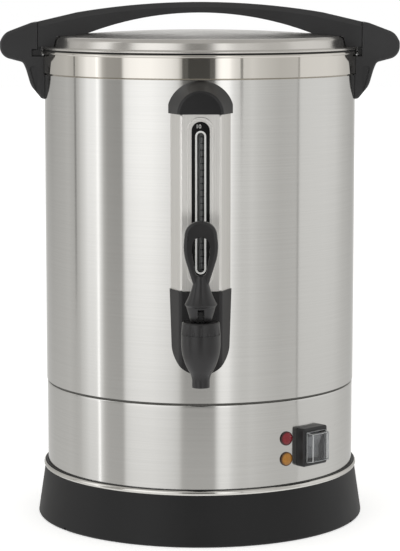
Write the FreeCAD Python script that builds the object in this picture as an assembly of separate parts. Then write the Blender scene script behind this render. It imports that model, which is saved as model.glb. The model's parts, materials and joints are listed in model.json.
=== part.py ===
# Coffee urn of ten litres with a lever tap, a sight gauge and a percolator set.
# Millimetres. Z is up, the tap faces -Y, and the origin is on the table under the middle of the base.
import FreeCAD, Part
import math
import os

from FreeCAD import Vector

# Clearances
seat_gap = 0.15           # between faces that rest on each other
wall_gap = 0.3            # between round faces that pass each other
shaft_gap = 0.05          # a pin or rod in its bore
screw_gap = 0.15          # a screw in its hole

# Tank
body_radius = 124.8
tank_wall = 0.8
seam_height = 111.5       # lower edge of the tank wall
floor_height = 116.0
floor_thickness = 1.2
floor_corner = 6.0
well_radius = 26.0
well_depth = 5.0
well_lip = 3.0            # width of the well's rim, welded onto the floor
well_lip_thickness = 0.8
band_bottom = 359.0
band_step = 0.6
band_groove = 0.9
groove_height = 1.3
rim_top = 376.6
rim_bead = 1.2            # radius of the rolled rim

# Lower housing and base
housing_inset = 0.5       # the housing is this much smaller than the tank
neck_height = 3.1         # what slides up inside the tank wall
shoulder_round = 1.2      # rounding of the housing's upper edge
seam_seal_height = 1.3    # what the black ring shows between housing and tank
seam_seal_wall = 0.8
seam_seal_inset = 0.3     # behind the housing's face
flange_width = 12.0
base_top = 39.6
skirt_top_radius = body_radius + 1.9
skirt_foot_radius = body_radius + 7.8
skirt_bottom = 0.2
skirt_wall = 2.5
skirt_edge = 2.0
shelf_thickness = 2.6
ledge_width = 4.0
ledge_thickness = 2.0
plate_bottom = 6.5
plate_thickness = 1.2
plate_gap = 0.6
notch_width = 3.0
notch_height = 2.7        # above the table
notch_azimuths = (-54.0, 66.0, 186.0)
locating_rim_wall = 1.6   # of the skirt's rim between the housing and the trim ring
locating_rim_rise = 0.3   # over the trim ring
trim_height = 4.0
trim_bulge = 3.5          # from the housing's face
trim_edge = 0.5
vent_count = 12
vent_width = 4.0
vent_length = 26.0
vent_circle = 62.0

# Feet and tie studs
foot_circle = body_radius - 12.8
foot_radius = 10.0
foot_taper = 1.4
foot_stem = 3.4
foot_barb = 5.0
foot_barb_height = 2.2
stud_azimuths = (6.0, 126.0, 246.0)
stud_circle = body_radius - 20.8
stud_radius = 2.5
stud_nut_radius = 4.6
stud_nut_height = 3.0
stud_tail = 1.0

# Lid
lid_top = 388.0           # where the domed top meets its rounded edge
lid_rise = 4.7            # of the dome, up to its middle
lid_wall = 0.8
lid_raised_radius = body_radius - 8.0     # at the foot of the raised part's sloped side
lid_slope = 2.0           # how much smaller it is at the top
lid_corner = 3.0
lid_foot = 0.5            # of the step from the side to the flange
lid_bead = 0.9            # radius of the rolled edge
gasket_thickness = 0.7
gasket_lip_depth = 6.5
gasket_lip_width = 3.6
gasket_inner_radius = body_radius - 7.3

# Lid handle
handle_width = 35.0       # front to back at the ends, the same as the side handles
handle_waist = 25.0       # front to back in the middle
hand_room = 13.8          # between the middle of the lid and the arch
arch_thickness = 8.3
arch_fall = 8.3           # from the middle of the top to its shoulders
arch_shoulder_x = body_radius - 25.8
parting_radius = body_radius + 5.2        # round end faces of the lid handle
parting_gap = 0.5
parting_top = 399.1
arch_foot_x = body_radius - 30.1
arch_bevel = 4.0
hook_thickness = 2.8
hook_bottom = 372.4
hook_height = 4.8
hook_reach = 4.6
hook_span = 28.0
lid_turn_degrees = 16.0   # unlocks the lid, anticlockwise from above

# Side handles
wing_reach = body_radius + 34.6
wing_crest = (body_radius + 8.9, 398.9, 10.0)       # corners of the outline: across, up, rounding
wing_shoulder = (wing_reach - 4.0, 390.7, 12.0)
wing_side = (383.5, 6.0)
wing_under = (372.0, 10.0)
wing_root = (body_radius + 16.2, 367.2, 4.0)
stem_hollow = (body_radius + 13.8, 361.5, 20.0)
stem_belly = (body_radius + 10.1, 348.6, 18.0)
stem_tip = (body_radius + 1.8, 338.4, 2.6)
handle_edge = 2.0
panel_depth = 1.2
panel_margin = 2.6
handle_screw_heights = (364.0, 347.0)
handle_screw_radius = 2.5
handle_screw_length = 11.0
handle_screw_head = 4.4
handle_screw_head_height = 2.6
washer_thickness = 1.2
washer_radius = 5.0

# Lid handle screws
lid_screw_x = body_radius - 20.8
lid_screw_y = 8.0
lid_screw_radius = 2.0
lid_screw_length = 11.0
lid_screw_head = 4.0
lid_screw_head_height = 2.2

# Sight gauge
shank_height = 157.0      # the tap's inlet through the tank wall
gauge_face = body_radius + 15.0           # distance of the channel's flat face from the axis
channel_wall = 0.8
channel_half_face = 15.2
channel_half_foot = 21.8
channel_bend = 2.2
channel_bottom = 190.0
channel_top = 337.0
slot_width = 13.4
slot_bottom = 208.0
cap_bottom = 333.3
slot_top = cap_bottom - 5.6
border_width = 20.4
border_ridge = 1.3
border_height = 0.5
insert_gap = 0.2
insert_thickness = 2.4
insert_proud = 0.3
window_width = 5.2
window_bottom = slot_bottom + 6.8
window_top = slot_top - 8.2
outline_width = 1.5
outline_height = 0.25
tube_distance = body_radius + 7.6         # of the glass tube's axis from the urn's axis
tube_radius = 4.0
tube_wall = 1.0
tube_bottom = shank_height + 13.5
tube_top = 346.0
seal_wall = 1.15
seal_height = 7.0
cap_radius = 24.3         # at its foot on the tank
cap_front_radius = 17.0
cap_face = gauge_face + 3.6
cap_edge = 2.5
cap_wall = 2.0
cap_overlap = 10.0        # how deep its cone reaches into the tank before it is trimmed

# Tap shield
shield_wall = 0.9
shield_top = 200.2
shield_half_top = 23.5
shield_bottom = shank_height - 20.6
shield_bottom_radius = 22.1

# Gauge shank
shank_radius = 7.0
shank_bore = 4.0
shank_hub_radius = 10.0
shank_inside = 14.0       # length of thread inside the tank
cup_wall = 1.1
cup_depth = 10.5
shank_washer_radius = 13.0
shank_washer = 1.2
shank_nut_radius = 12.0
shank_nut_height = 6.0

# Tap
tap_distance = body_radius + 45.2
outlet_bottom = shank_height - 24.2
outlet_radius = 6.6
outlet_bore = 5.2
outlet_top = shank_height - 19.1
barrel_throat = (7.25, shank_height - 15.8)         # the barrel's outline: radius and height
barrel_neck = (8.7, shank_height - 12.5)
barrel_cheek = (12.5, shank_height - 4.2)
barrel_shoulder = (14.6, shank_height + 9.5)
barrel_top = shank_height + 15.7
chamber_radius = 10.6
chamber_bottom = shank_height - 5.4
seat_height = shank_height - 9.4
inlet_radius = 9.6
tap_flange_radius = 12.5
tap_flange = 2.2
bonnet_radius = 14.6
bonnet_top_radius = 13.95
bonnet_top = barrel_top + 9.2
bonnet_flutes = 16
flute_radius = 1.1
bonnet_roof = 2.0
bonnet_plug = 6.0         # what screws down into the barrel
spring_room = 7.6

# Tap stem, cup and spring
stem_radius = 2.0
stem_lift = 4.0
stem_eye_half_width = 2.1
stem_eye_half_depth = 3.6
pin_rise = 4.1            # from the bonnet's top to the lever's pin
stem_eye_head = 3.5       # from the pin to the top of the eye
stem_eye_foot = 1.2       # from the bonnet's top to the underside of the eye
stem_bottom = shank_height - 5.2
cup_radius = 8.2
cup_foot_radius = 5.6
cup_height = 9.0
collar_height = shank_height + 8.0
collar_radius = 6.2
collar_thickness = 1.2
spring_wire = 0.9
spring_radius = 4.7
spring_turns = 6
pin_radius = 1.5
pin_height = bonnet_top + pin_rise
pin_half_length = 8.4

# Tap lever
lever_gap = 0.6           # between the fork and the bonnet
fork_foot_radius = 8.0
fork_radius = 10.9
fork_slot_gap = 0.4
fork_slot_head = 1.3      # free room over the eye when the lever swings
hood_bottom = bonnet_top + 11.4
hood_radius = 12.0
hood_edge = bonnet_top + 13.0
hood_cheek = (8.5, bonnet_top + 20.4)
lever_neck = (5.9, bonnet_top + 28.4)
lever_root = (4.3, bonnet_top + 37.0)               # where the round neck ends in the flat loop
loop_thickness = 8.0
loop_edge = 2.4
lever_top = bonnet_top + 74.6
loop_side = (13.3, lever_top - 22.6, 40.0)          # the loop's corners: across, up, rounding
loop_crown = (11.0, lever_top, 10.6)
hole_foot = (3.6, lever_root[1] - 2.8, 3.4)
hole_side = (6.9, lever_top - 23.5, 25.0)
hole_crown = (5.7, lever_top - 11.8, 5.0)

# Switch
switch_azimuth = 43.2
switch_height = 72.2
bezel_half_width = 13.2
bezel_half_height = 15.1
bezel_depth = 6.9
bezel_edge = 1.6
switch_body_half_width = 10.8
switch_body_half_height = 13.6
switch_body_depth = 24.0
well_half_width = 8.6
well_half_height = 11.4
well_floor = 13.8
rocker_gap = 0.4
rocker_pivot_depth = 9.0  # behind the bezel's face
rocker_swing = 10.9
rocker_crown = 6.0
rocker_dip = 4.2
rocker_tail = 3.0
rocker_tilt = 11.0
rocker_pin = 1.2
rocker_pin_reach = 1.1
blade_length = 8.0
cover_foot_half_width = 10.2
cover_foot_half_height = 12.0
cover_half_width = 8.9
cover_half_height = 10.9
cover_height = 5.7
cover_wall = 0.6

# Lamps
lamp_azimuth = 32.3
lamp_heights = (80.3, 64.1)
lens_radius = 5.5
lens_rim = 0.7
lens_dome = 1.0
lamp_barrel = 4.6
lamp_depth = 17.0
lamp_nut_radius = 7.2
lamp_nut_height = 2.6

# Power inlet
inlet_azimuth = 180.0
inlet_height = 72.0
inlet_flange_half_width = 15.4
inlet_flange_half_height = 12.2
inlet_flange_depth = 2.4
inlet_corner = 2.0
inlet_half_width = 13.4
inlet_half_height = 9.8
inlet_depth = 21.0
inlet_mouth_half_width = 11.9
inlet_mouth_half_height = 8.2
inlet_mouth_depth = 16.0
pin_spacing = 7.0
earth_rise = 4.0
contact_width = 2.0
contact_height = 4.0
contact_setback = 5.0
contact_tail = 7.0

# Thermal cut-out
cutout_azimuth = 152.0
cutout_height = 72.0
cutout_radius = 12.0
cutout_length = 18.0
bush_radius = 4.8
bush_reach = 3.4
cutout_nut_radius = 7.4
cutout_nut_height = 2.4
button_radius = 2.25
button_travel = 2.0
button_proud = 0.6        # what still stands out when it is pressed in
button_collar = 3.6
button_collar_height = 1.2
cutout_cavity = 4.2

# Heating
spreader_inner_radius = 30.0
spreader_radius = body_radius - 32.8
spreader_thickness = 2.5
element_tube = 3.2
boil_ring = 72.0
warm_ring = 45.0
ring_open_degrees = 40.0
element_pin = 1.8
element_tail = 12.0
thermostat_radius = 8.0
thermostat_height = 9.0
thermostat_circle = 58.4
thermostat_azimuths = (100.0, 20.0)
terminal_centre = (-46.0, 44.0)
terminal_length = 46.0
terminal_depth = 20.0
terminal_height = 15.0
terminal_ways = 4
terminal_bore = 2.2
wire_radius = 1.3
wire_bend = 12.0

# Percolator set
bell_radius = 23.0
bell_wall = 0.8
bell_top = 130.0
bell_rim = 2.5
bell_notches = 3
bell_notch_width = 6.0
tube_outer = 4.5
tube_inner = 3.7
percolator_top = 378.0
basket_radius = 85.0
basket_bottom = 325.5
basket_height = 42.5
basket_wall = 0.8
basket_seat_radius = 8.0
basket_seat_height = 2.0
sleeve_wall = 0.9
sleeve_drop = 1.5         # from the basket's cover down to the sleeve
hole_radius = 1.6
hole_ring_count = 5
hole_ring_start = 16.0    # radius of the innermost ring of holes
hole_ring_step = 14.0
first_ring_count = 8      # holes in the innermost ring
added_count = 6           # more holes in each further ring
cover_plate_lip = 2.0
cover_plate_drop = 3.0

# Where things meet
tank_inner = body_radius - tank_wall
band_radius = body_radius + band_step
band_inner = band_radius - tank_wall
housing_radius = body_radius - housing_inset
housing_inner = housing_radius - tank_wall
housing_shoulder = seam_height - seam_seal_height - 2 * seat_gap
neck_outer = tank_inner - seam_seal_wall - 2 * seat_gap
floor_under = floor_height - floor_thickness
skirt_slope = (skirt_foot_radius - skirt_top_radius) / (base_top - skirt_bottom)
locating_rim_inner = housing_radius + seat_gap
locating_rim_outer = locating_rim_inner + locating_rim_wall
arch_under = lid_top + lid_rise + hand_room
arch_top = arch_under + arch_thickness
arch_shoulder_z = arch_top - arch_fall
plate_top = plate_bottom + plate_thickness
lid_edge_bottom = rim_top + gasket_thickness + 2 * seat_gap
flange_top = lid_edge_bottom + 2 * lid_bead
lid_shoulder = lid_raised_radius - lid_slope
dome_edge = lid_shoulder - lid_corner
dome_radius = (dome_edge ** 2 + lid_rise ** 2) / (2 * lid_rise)
well_outer = well_radius + floor_thickness
side_radius = parting_radius + parting_gap
slot_floor = hook_bottom - parting_gap
slot_roof = hook_bottom + hook_height + parting_gap
insert_back = gauge_face + insert_proud - insert_thickness
bezel_back = housing_radius + seat_gap
bezel_face = bezel_back + bezel_depth
pivot_distance = bezel_face - rocker_pivot_depth
fork_bottom = bonnet_top + lever_gap
spreader_bottom = floor_under - spreader_thickness
element_height = spreader_bottom - element_tube - seat_gap
basket_rim = basket_bottom + basket_height

AXIS_X = Vector(1, 0, 0)
AXIS_Y = Vector(0, 1, 0)
AXIS_Z = Vector(0, 0, 1)
ORIGIN = Vector(0, 0, 0)


# Shape helpers

def in_xz(a, b):
    return Vector(a, 0, b)


def in_xy(a, b):
    return Vector(a, b, 0)


def in_yz(a, b):
    return Vector(0, a, b)


def closed_wire(steps, place):
    """A closed outline. A step is an end point, or a pair of middle and end point for an arc."""
    edges = []
    here = steps[0]
    for step in list(steps[1:]) + [steps[0]]:
        if isinstance(step[0], tuple):
            middle, end = step
            edges.append(Part.Arc(place(*here), place(*middle), place(*end)).toShape())
        else:
            end = step
            if math.dist(here, end) > 1e-6:
                edges.append(Part.LineSegment(place(*here), place(*end)).toShape())
        here = end
    return Part.Wire(edges)


def rounded(corners):
    """The steps of an outline whose corners, each with its radius, are rounded where that isn't 0."""
    steps = []
    for index, (a, b, radius) in enumerate(corners):
        back = Vector(*corners[index - 1][:2], 0) - Vector(a, b, 0)
        ahead = Vector(*corners[(index + 1) % len(corners)][:2], 0) - Vector(a, b, 0)
        if radius == 0:
            steps.append((a, b))
            continue
        back.normalize()
        ahead.normalize()
        half = back.getAngle(ahead) / 2
        inward = (back + ahead).normalize()
        here = Vector(a, b, 0)
        start = here + back * (radius / math.tan(half))
        middle = here + inward * (radius / math.sin(half) - radius)
        end = here + ahead * (radius / math.tan(half))
        steps.append((start.x, start.y))
        steps.append(((middle.x, middle.y), (end.x, end.y)))
    return steps


def turned(steps, centre=ORIGIN):
    """A solid of revolution about a vertical axis, from an outline of radius and height."""
    face = Part.Face(closed_wire(steps, in_xz))
    solid = face.revolve(ORIGIN, AXIS_Z, 360)
    solid.translate(centre)
    return solid


def turned_part(steps, start, sweep):
    """A sector of a turned ring, from the azimuth start over sweep degrees, 0 being +X."""
    face = Part.Face(closed_wire(steps, in_xz))
    face.rotate(ORIGIN, AXIS_Z, start)
    return face.revolve(ORIGIN, AXIS_Z, sweep)


def slab(steps, place, direction, near, far):
    """An outline pushed along an axis from one distance to another."""
    face = Part.Face(closed_wire(steps, place))
    face.translate(direction * near)
    return face.extrude(direction * (far - near))


def rod(radius, start, direction, length):
    return Part.makeCylinder(radius, length, start, direction)


def upright(radius, bottom, top, x=0.0, y=0.0):
    return rod(radius, Vector(x, y, bottom), AXIS_Z, top - bottom)


def pipe(outer, inner, bottom, top, x=0.0, y=0.0):
    return upright(outer, bottom, top, x, y).cut(upright(inner, bottom - 1, top + 1, x, y))


def block(x0, x1, y0, y1, z0, z1):
    return Part.makeBox(x1 - x0, y1 - y0, z1 - z0, Vector(x0, y0, z0))


def fuse(first, *others):
    return first.multiFuse(list(others)).removeSplitter()


def slot_outline(width, bottom, top):
    """A slot with round ends, as seen from the front."""
    half = width / 2
    return [
        (-half, bottom + half),
        ((0, bottom), (half, bottom + half)),
        (half, top - half),
        ((0, top), (-half, top - half)),
    ]


def slot_plate(width, bottom, top, near, far):
    """A slot-shaped plate that faces the front, between two distances from the axis."""
    return slab(slot_outline(width, bottom, top), in_xz, AXIS_Y, -far, -near)


def at_azimuth(shape, azimuth):
    """Moves what was made at the front round the urn, towards +X."""
    moved = shape.copy()
    moved.rotate(ORIGIN, AXIS_Z, azimuth)
    return moved


def on_circle(radius, azimuth):
    """A point at an azimuth that counts from the front towards +X."""
    angle = math.radians(azimuth)
    return radius * math.sin(angle), -radius * math.cos(angle)


def round_edges(solid, radius, wanted):
    """Rounds the edges that the test picks."""
    edges = [edge for edge in solid.Edges if wanted(edge)]
    return solid.makeFillet(radius, edges)


def flat_in_y(edge, value):
    box = edge.BoundBox
    return abs(box.YMin - value) < 1e-3 and abs(box.YMax - value) < 1e-3


def vertical(edge):
    box = edge.BoundBox
    return box.XLength < 1e-3 and box.YLength < 1e-3


def mirrored(shape):
    return shape.mirror(ORIGIN, AXIS_X)


def gather(solids):
    return Part.makeCompound(solids)


# Base

def skirt_radius(height):
    return skirt_foot_radius - skirt_slope * (height - skirt_bottom)


def skirt_inside(height):
    return skirt_radius(height) - skirt_wall


def base_skirt():
    rim_height = base_top + trim_height + locating_rim_rise
    shelf_inner = housing_radius - flange_width
    shelf_under = base_top - shelf_thickness
    ledge_bottom = plate_top
    ledge_top = ledge_bottom + ledge_thickness
    outline = [
        (skirt_top_radius, base_top),
        (skirt_radius(skirt_bottom + skirt_edge), skirt_bottom + skirt_edge),
        ((skirt_foot_radius - 0.6, skirt_bottom + 0.6), (skirt_foot_radius - skirt_edge, skirt_bottom)),
        (skirt_inside(skirt_bottom), skirt_bottom),
        (skirt_inside(ledge_bottom), ledge_bottom),
        (skirt_inside(ledge_bottom) - ledge_width, ledge_bottom),
        (skirt_inside(ledge_top) - ledge_width, ledge_top),
        (skirt_inside(ledge_top), ledge_top),
        (skirt_inside(shelf_under), shelf_under),
        (shelf_inner, shelf_under),
        (shelf_inner, base_top),
        (locating_rim_inner, base_top),
        (locating_rim_inner, rim_height),
        (locating_rim_outer, rim_height),
        (locating_rim_outer, base_top),
    ]
    skirt = turned(outline)
    reach = skirt_foot_radius + 1
    notch = block(-notch_width / 2, notch_width / 2, -reach, -reach + 3 * skirt_wall,
                  skirt_bottom - 1, notch_height)
    return skirt.cut(gather([at_azimuth(notch, azimuth) for azimuth in notch_azimuths]))


def bottom_plate():
    radius = skirt_radius(plate_top) - skirt_wall - plate_gap
    plate = upright(radius, plate_bottom, plate_top)
    cuts = []
    for azimuth in notch_azimuths:
        x, y = on_circle(foot_circle, azimuth)
        cuts.append(upright(foot_stem + screw_gap, 0, plate_top + 1, x, y))
    for azimuth in stud_azimuths:
        x, y = on_circle(stud_circle, azimuth)
        cuts.append(upright(stud_radius + screw_gap, 0, plate_top + 1, x, y))
    vent = block(-vent_width / 2, vent_width / 2, -vent_circle - vent_length / 2,
                 -vent_circle + vent_length / 2, 0, plate_top + 1)
    for index in range(vent_count):
        cuts.append(at_azimuth(vent, 360 / vent_count * index))
    return plate.cut(gather(cuts))


def rubber_feet():
    outline = [
        (0, 0), (foot_radius - foot_taper, 0), (foot_radius, foot_taper), (foot_radius, plate_bottom),
        (foot_stem, plate_bottom), (foot_stem, plate_top), (foot_barb, plate_top),
        (foot_stem, plate_top + foot_barb_height), (0, plate_top + foot_barb_height),
    ]
    feet = []
    for azimuth in notch_azimuths:
        x, y = on_circle(foot_circle, azimuth)
        feet.append(turned(outline, Vector(x, y, 0)))
    return gather(feet)


def tie_studs():
    bottom = plate_bottom - stud_nut_height - stud_tail
    studs = []
    for azimuth in stud_azimuths:
        x, y = on_circle(stud_circle, azimuth)
        studs.append(upright(stud_radius, bottom, floor_under, x, y))
    return gather(studs)


def stud_nuts():
    nuts = []
    for azimuth in stud_azimuths:
        x, y = on_circle(stud_circle, azimuth)
        corners = [on_circle(stud_nut_radius, 60 * index) for index in range(6)]
        nut = slab(corners, in_xy, AXIS_Z, plate_bottom - stud_nut_height, plate_bottom)
        nut.translate(Vector(x, y, 0))
        nuts.append(nut.cut(upright(stud_radius + shaft_gap, 0, plate_bottom + 1, x, y)))
    return gather(nuts)


def base_trim_ring():
    inner = locating_rim_outer + seat_gap
    top = base_top + trim_height
    return turned([
        (inner, base_top),
        (skirt_top_radius, base_top),
        ((housing_radius + trim_bulge, base_top + trim_height / 2), (inner + trim_edge, top)),
        (inner, top - trim_edge),
    ])


def housing_cuts():
    """The holes in the lower housing for the switch, the lamps, the inlet and the cut-out."""
    deep = housing_radius - 20
    reach = housing_radius + 5
    half_width = switch_body_half_width + seat_gap
    half_height = switch_body_half_height + seat_gap
    switch_cut = block(-half_width, half_width, -reach, -deep,
                       switch_height - half_height, switch_height + half_height)
    cuts = [at_azimuth(switch_cut, switch_azimuth)]
    for height in lamp_heights:
        hole = rod(lamp_barrel + screw_gap, Vector(0, -reach, height), AXIS_Y, reach - deep)
        cuts.append(at_azimuth(hole, lamp_azimuth))
    half_width = inlet_half_width + seat_gap
    half_height = inlet_half_height + seat_gap
    inlet_cut = block(-half_width, half_width, -reach, -deep,
                      inlet_height - half_height, inlet_height + half_height)
    cuts.append(at_azimuth(inlet_cut, inlet_azimuth))
    hole = rod(bush_radius + screw_gap, Vector(0, -reach, cutout_height), AXIS_Y, reach - deep)
    cuts.append(at_azimuth(hole, cutout_azimuth))
    return gather(cuts)


def lower_housing():
    neck_top = seam_height + neck_height - seat_gap
    soft = shoulder_round * (1 - math.cos(math.radians(45)))
    outline = [
        (housing_radius, base_top),
        (housing_radius, housing_shoulder - shoulder_round),
        ((housing_radius - soft, housing_shoulder - soft),
         (housing_radius - shoulder_round, housing_shoulder)),
        (neck_outer, housing_shoulder),
        (neck_outer, neck_top),
        (neck_outer - tank_wall, neck_top),
        (neck_outer - tank_wall, housing_shoulder - tank_wall),
        (housing_inner, housing_shoulder - tank_wall),
        (housing_inner, base_top + tank_wall),
        (housing_radius - flange_width, base_top + tank_wall),
        (housing_radius - flange_width, base_top),
    ]
    return turned(outline).cut(housing_cuts())


def seam_seal():
    """The black ring between housing and tank: a foot that shows and a leg behind the tank wall."""
    inner = neck_outer + seat_gap
    bottom = housing_shoulder + seat_gap
    foot = housing_radius - seam_seal_inset
    return turned([
        (inner, bottom),
        (foot, bottom),
        (foot, seam_height - seat_gap),
        (inner + seam_seal_wall, seam_height - seat_gap),
        (inner + seam_seal_wall, seam_height + neck_height - 1),
        (inner, seam_height + neck_height - 1),
    ])


# Tank

def tank():
    groove_middle = band_bottom - groove_height / 2
    bead_middle = rim_top - rim_bead
    corner_middle = floor_corner * (1 - math.cos(math.radians(45)))
    outline = [
        (well_outer + shaft_gap, floor_height),
        (tank_inner - floor_corner, floor_height),
        ((tank_inner - corner_middle, floor_height + corner_middle),
         (tank_inner, floor_height + floor_corner)),
        (tank_inner, band_bottom - groove_height),
        (tank_inner - band_groove, groove_middle),
        (band_inner, band_bottom + band_step),
        (band_inner, rim_top),
        (band_radius, rim_top),
        ((band_radius + rim_bead, bead_middle), (band_radius, bead_middle - rim_bead)),
        (band_radius, band_bottom),
        (body_radius - band_groove, groove_middle),
        (body_radius, band_bottom - groove_height),
        (body_radius, seam_height),
        (tank_inner, seam_height),
        (tank_inner, floor_under),
        (well_outer + shaft_gap, floor_under),
    ]
    cuts = [rod(shank_radius + screw_gap, Vector(0, -body_radius - 5, shank_height), AXIS_Y, 20)]
    for height in handle_screw_heights:
        start = Vector(-band_radius - 5, 0, height)
        cuts.append(rod(handle_screw_radius + screw_gap, start, AXIS_X, 2 * band_radius + 10))
    return turned(outline).cut(gather(cuts))


def tank_well():
    """The pressed cup under the percolator's foot, welded into the tank floor by its rim."""
    lip_bottom = floor_height + shaft_gap
    return turned([
        (0, floor_height - well_depth),
        (well_radius, floor_height - well_depth),
        (well_radius, lip_bottom + well_lip_thickness),
        (well_outer + well_lip, lip_bottom + well_lip_thickness),
        (well_outer + well_lip, lip_bottom),
        (well_outer, lip_bottom),
        (well_outer, floor_under - well_depth),
        (0, floor_under - well_depth),
    ])


# Heating and electrics

def heat_spreader():
    return pipe(spreader_radius, spreader_inner_radius, spreader_bottom, floor_under)


def element_ring(ring_radius, azimuth):
    """A sheathed heater bent into an open ring, with a pin turned down at each end."""
    circle = Part.Wire(Part.makeCircle(element_tube, Vector(ring_radius, 0, element_height), AXIS_Y))
    bend = Part.Face(circle).revolve(ORIGIN, AXIS_Z, 360 - ring_open_degrees)
    pieces = [bend]
    inset = math.degrees(1.5 * element_tube / ring_radius)
    for angle in (inset, 360 - ring_open_degrees - inset):
        turn = math.radians(angle)
        x = ring_radius * math.cos(turn)
        y = ring_radius * math.sin(turn)
        pieces.append(upright(element_pin, element_height - element_tail, element_height, x, y))
    ring = fuse(*pieces)
    ring.rotate(ORIGIN, AXIS_Z, azimuth)
    return ring


def disc_thermostat(azimuth):
    x, y = on_circle(thermostat_circle, azimuth)
    top = spreader_bottom
    can = upright(thermostat_radius, top - thermostat_height, top, x, y)
    blades = [
        block(x + side - 0.4, x + side + 0.4, y - 2.5, y + 2.5,
              top - thermostat_height - blade_length, top - thermostat_height)
        for side in (-4.0, 4.0)
    ]
    return fuse(can, *blades)


def terminal_block():
    x, y = terminal_centre
    half = terminal_length / 2
    body = block(x - half, x + half, y - terminal_depth / 2, y + terminal_depth / 2,
                 plate_top, plate_top + terminal_height)
    pitch = terminal_length / terminal_ways
    cuts = []
    for index in range(terminal_ways):
        way = x - half + pitch * (index + 0.5)
        middle = plate_top + 0.4 * terminal_height
        cuts.append(rod(terminal_bore, Vector(way, y - terminal_depth, middle), AXIS_Y, 2 * terminal_depth))
        cuts.append(upright(terminal_bore, middle, plate_top + terminal_height + 1, way, y))
    return body.cut(gather(cuts))


def bent_wire(points):
    """A wire along straight runs that are joined by tangent arcs."""
    edges = []
    here = points[0]
    for index in range(1, len(points) - 1):
        corner = points[index]
        back = (points[index - 1] - corner).normalize()
        ahead = (points[index + 1] - corner).normalize()
        half_turn = (math.pi - back.getAngle(ahead)) / 2
        cut_back = wire_bend * math.tan(half_turn)
        start = corner + back * cut_back
        end = corner + ahead * cut_back
        inward = (back + ahead).normalize()
        middle = corner + inward * (wire_bend / math.cos(half_turn) - wire_bend)
        edges.append(Part.LineSegment(here, start).toShape())
        edges.append(Part.Arc(start, middle, end).toShape())
        here = end
    edges.append(Part.LineSegment(here, points[-1]).toShape())
    path = Part.Wire(edges)
    profile = Part.Wire(Part.makeCircle(wire_radius, points[0], points[1] - points[0]))
    return path.makePipeShell([profile], True, False)


def wiring():
    """Leads from the terminal block to the inlet, the switch, the cut-out and the boiling element."""
    x, y = terminal_centre
    pitch = terminal_length / terminal_ways
    back = y + terminal_depth / 2 + seat_gap
    front = y - terminal_depth / 2 - seat_gap
    level = plate_top + 0.4 * terminal_height
    ways = [x - terminal_length / 2 + pitch * (index + 0.5) for index in range(terminal_ways)]
    inlet_back = housing_radius - inlet_depth - contact_tail
    switch_x, switch_y = on_circle(bezel_back - switch_body_depth - blade_length - seat_gap, switch_azimuth)
    switch_in = Vector(*on_circle(1.0, switch_azimuth), 0) * -1
    wires = []
    for side, way in ((-1, ways[2]), (1, ways[3])):
        pin_x = side * pin_spacing
        pin_y = inlet_back - seat_gap
        wires.append(bent_wire([
            Vector(way, back, level),
            Vector(way, back + 17, level),
            Vector(pin_x, pin_y - 20, inlet_height - 22),
            Vector(pin_x, pin_y - 18, inlet_height),
            Vector(pin_x, pin_y, inlet_height),
        ]))
    for rise, way in ((-6.0, ways[2]), (6.0, ways[3])):
        height = switch_height + rise
        tip = Vector(switch_x, switch_y, height)
        wires.append(bent_wire([
            Vector(way, front, level),
            Vector(way, front - 20, level),
            tip + switch_in * 30 + Vector(0, 0, -34 - rise),
            tip + switch_in * 20,
            tip,
        ]))
    return gather(wires)


def power_inlet():
    flange = block(-inlet_flange_half_width, inlet_flange_half_width,
                   -bezel_back - inlet_flange_depth, -bezel_back + 2,
                   inlet_height - inlet_flange_half_height, inlet_height + inlet_flange_half_height)
    flange = round_edges(flange, inlet_corner, lambda edge: edge.BoundBox.YLength > inlet_flange_depth)
    flange = flange.cut(upright(bezel_back, 0, rim_top))
    shell = block(-inlet_half_width, inlet_half_width, -bezel_back, -bezel_back + inlet_depth,
                  inlet_height - inlet_half_height, inlet_height + inlet_half_height)
    face = bezel_back + inlet_flange_depth
    corner = 5.0
    mouth = slab([
        (-inlet_mouth_half_width, -inlet_mouth_half_height),
        (inlet_mouth_half_width, -inlet_mouth_half_height),
        (inlet_mouth_half_width, inlet_mouth_half_height - corner),
        (inlet_mouth_half_width - corner, inlet_mouth_half_height),
        (-inlet_mouth_half_width + corner, inlet_mouth_half_height),
        (-inlet_mouth_half_width, inlet_mouth_half_height - corner),
    ], in_xz, AXIS_Y, -face - 1, -face + inlet_mouth_depth)
    mouth.translate(Vector(0, 0, inlet_height))
    return at_azimuth(fuse(flange, shell).cut(mouth).cut(inlet_contacts(shaft_gap)), inlet_azimuth)


def inlet_contacts(grow=0.0):
    """The three flat contacts at the front, a little larger where they cut their own holes."""
    face = bezel_back + inlet_flange_depth
    back = bezel_back - inlet_depth - contact_tail
    contacts = []
    for x, rise in ((-pin_spacing, 0.0), (pin_spacing, 0.0), (0.0, earth_rise)):
        half_width = contact_width / 2 + grow
        half_height = contact_height / 2 + grow
        contacts.append(block(x - half_width, x + half_width, -face + contact_setback, -back,
                              inlet_height + rise - half_height, inlet_height + rise + half_height))
    return gather(contacts)


def inlet_pins():
    return at_azimuth(inlet_contacts(), inlet_azimuth)


def thermal_cutout():
    back = housing_inner - 1.2
    can = rod(cutout_radius, Vector(0, -back, cutout_height), AXIS_Y, cutout_length)
    bush = rod(bush_radius, Vector(0, -bezel_back - bush_reach, cutout_height), AXIS_Y,
               bezel_back + bush_reach - back + 1)
    bore = rod(button_radius + shaft_gap, Vector(0, -bezel_back - bush_reach - 1, cutout_height), AXIS_Y, 20)
    cavity = rod(cutout_cavity, Vector(0, -back + 1.2, cutout_height), AXIS_Y, cutout_length - 3)
    return at_azimuth(fuse(can, bush).cut(fuse(bore, cavity)), cutout_azimuth)


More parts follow.
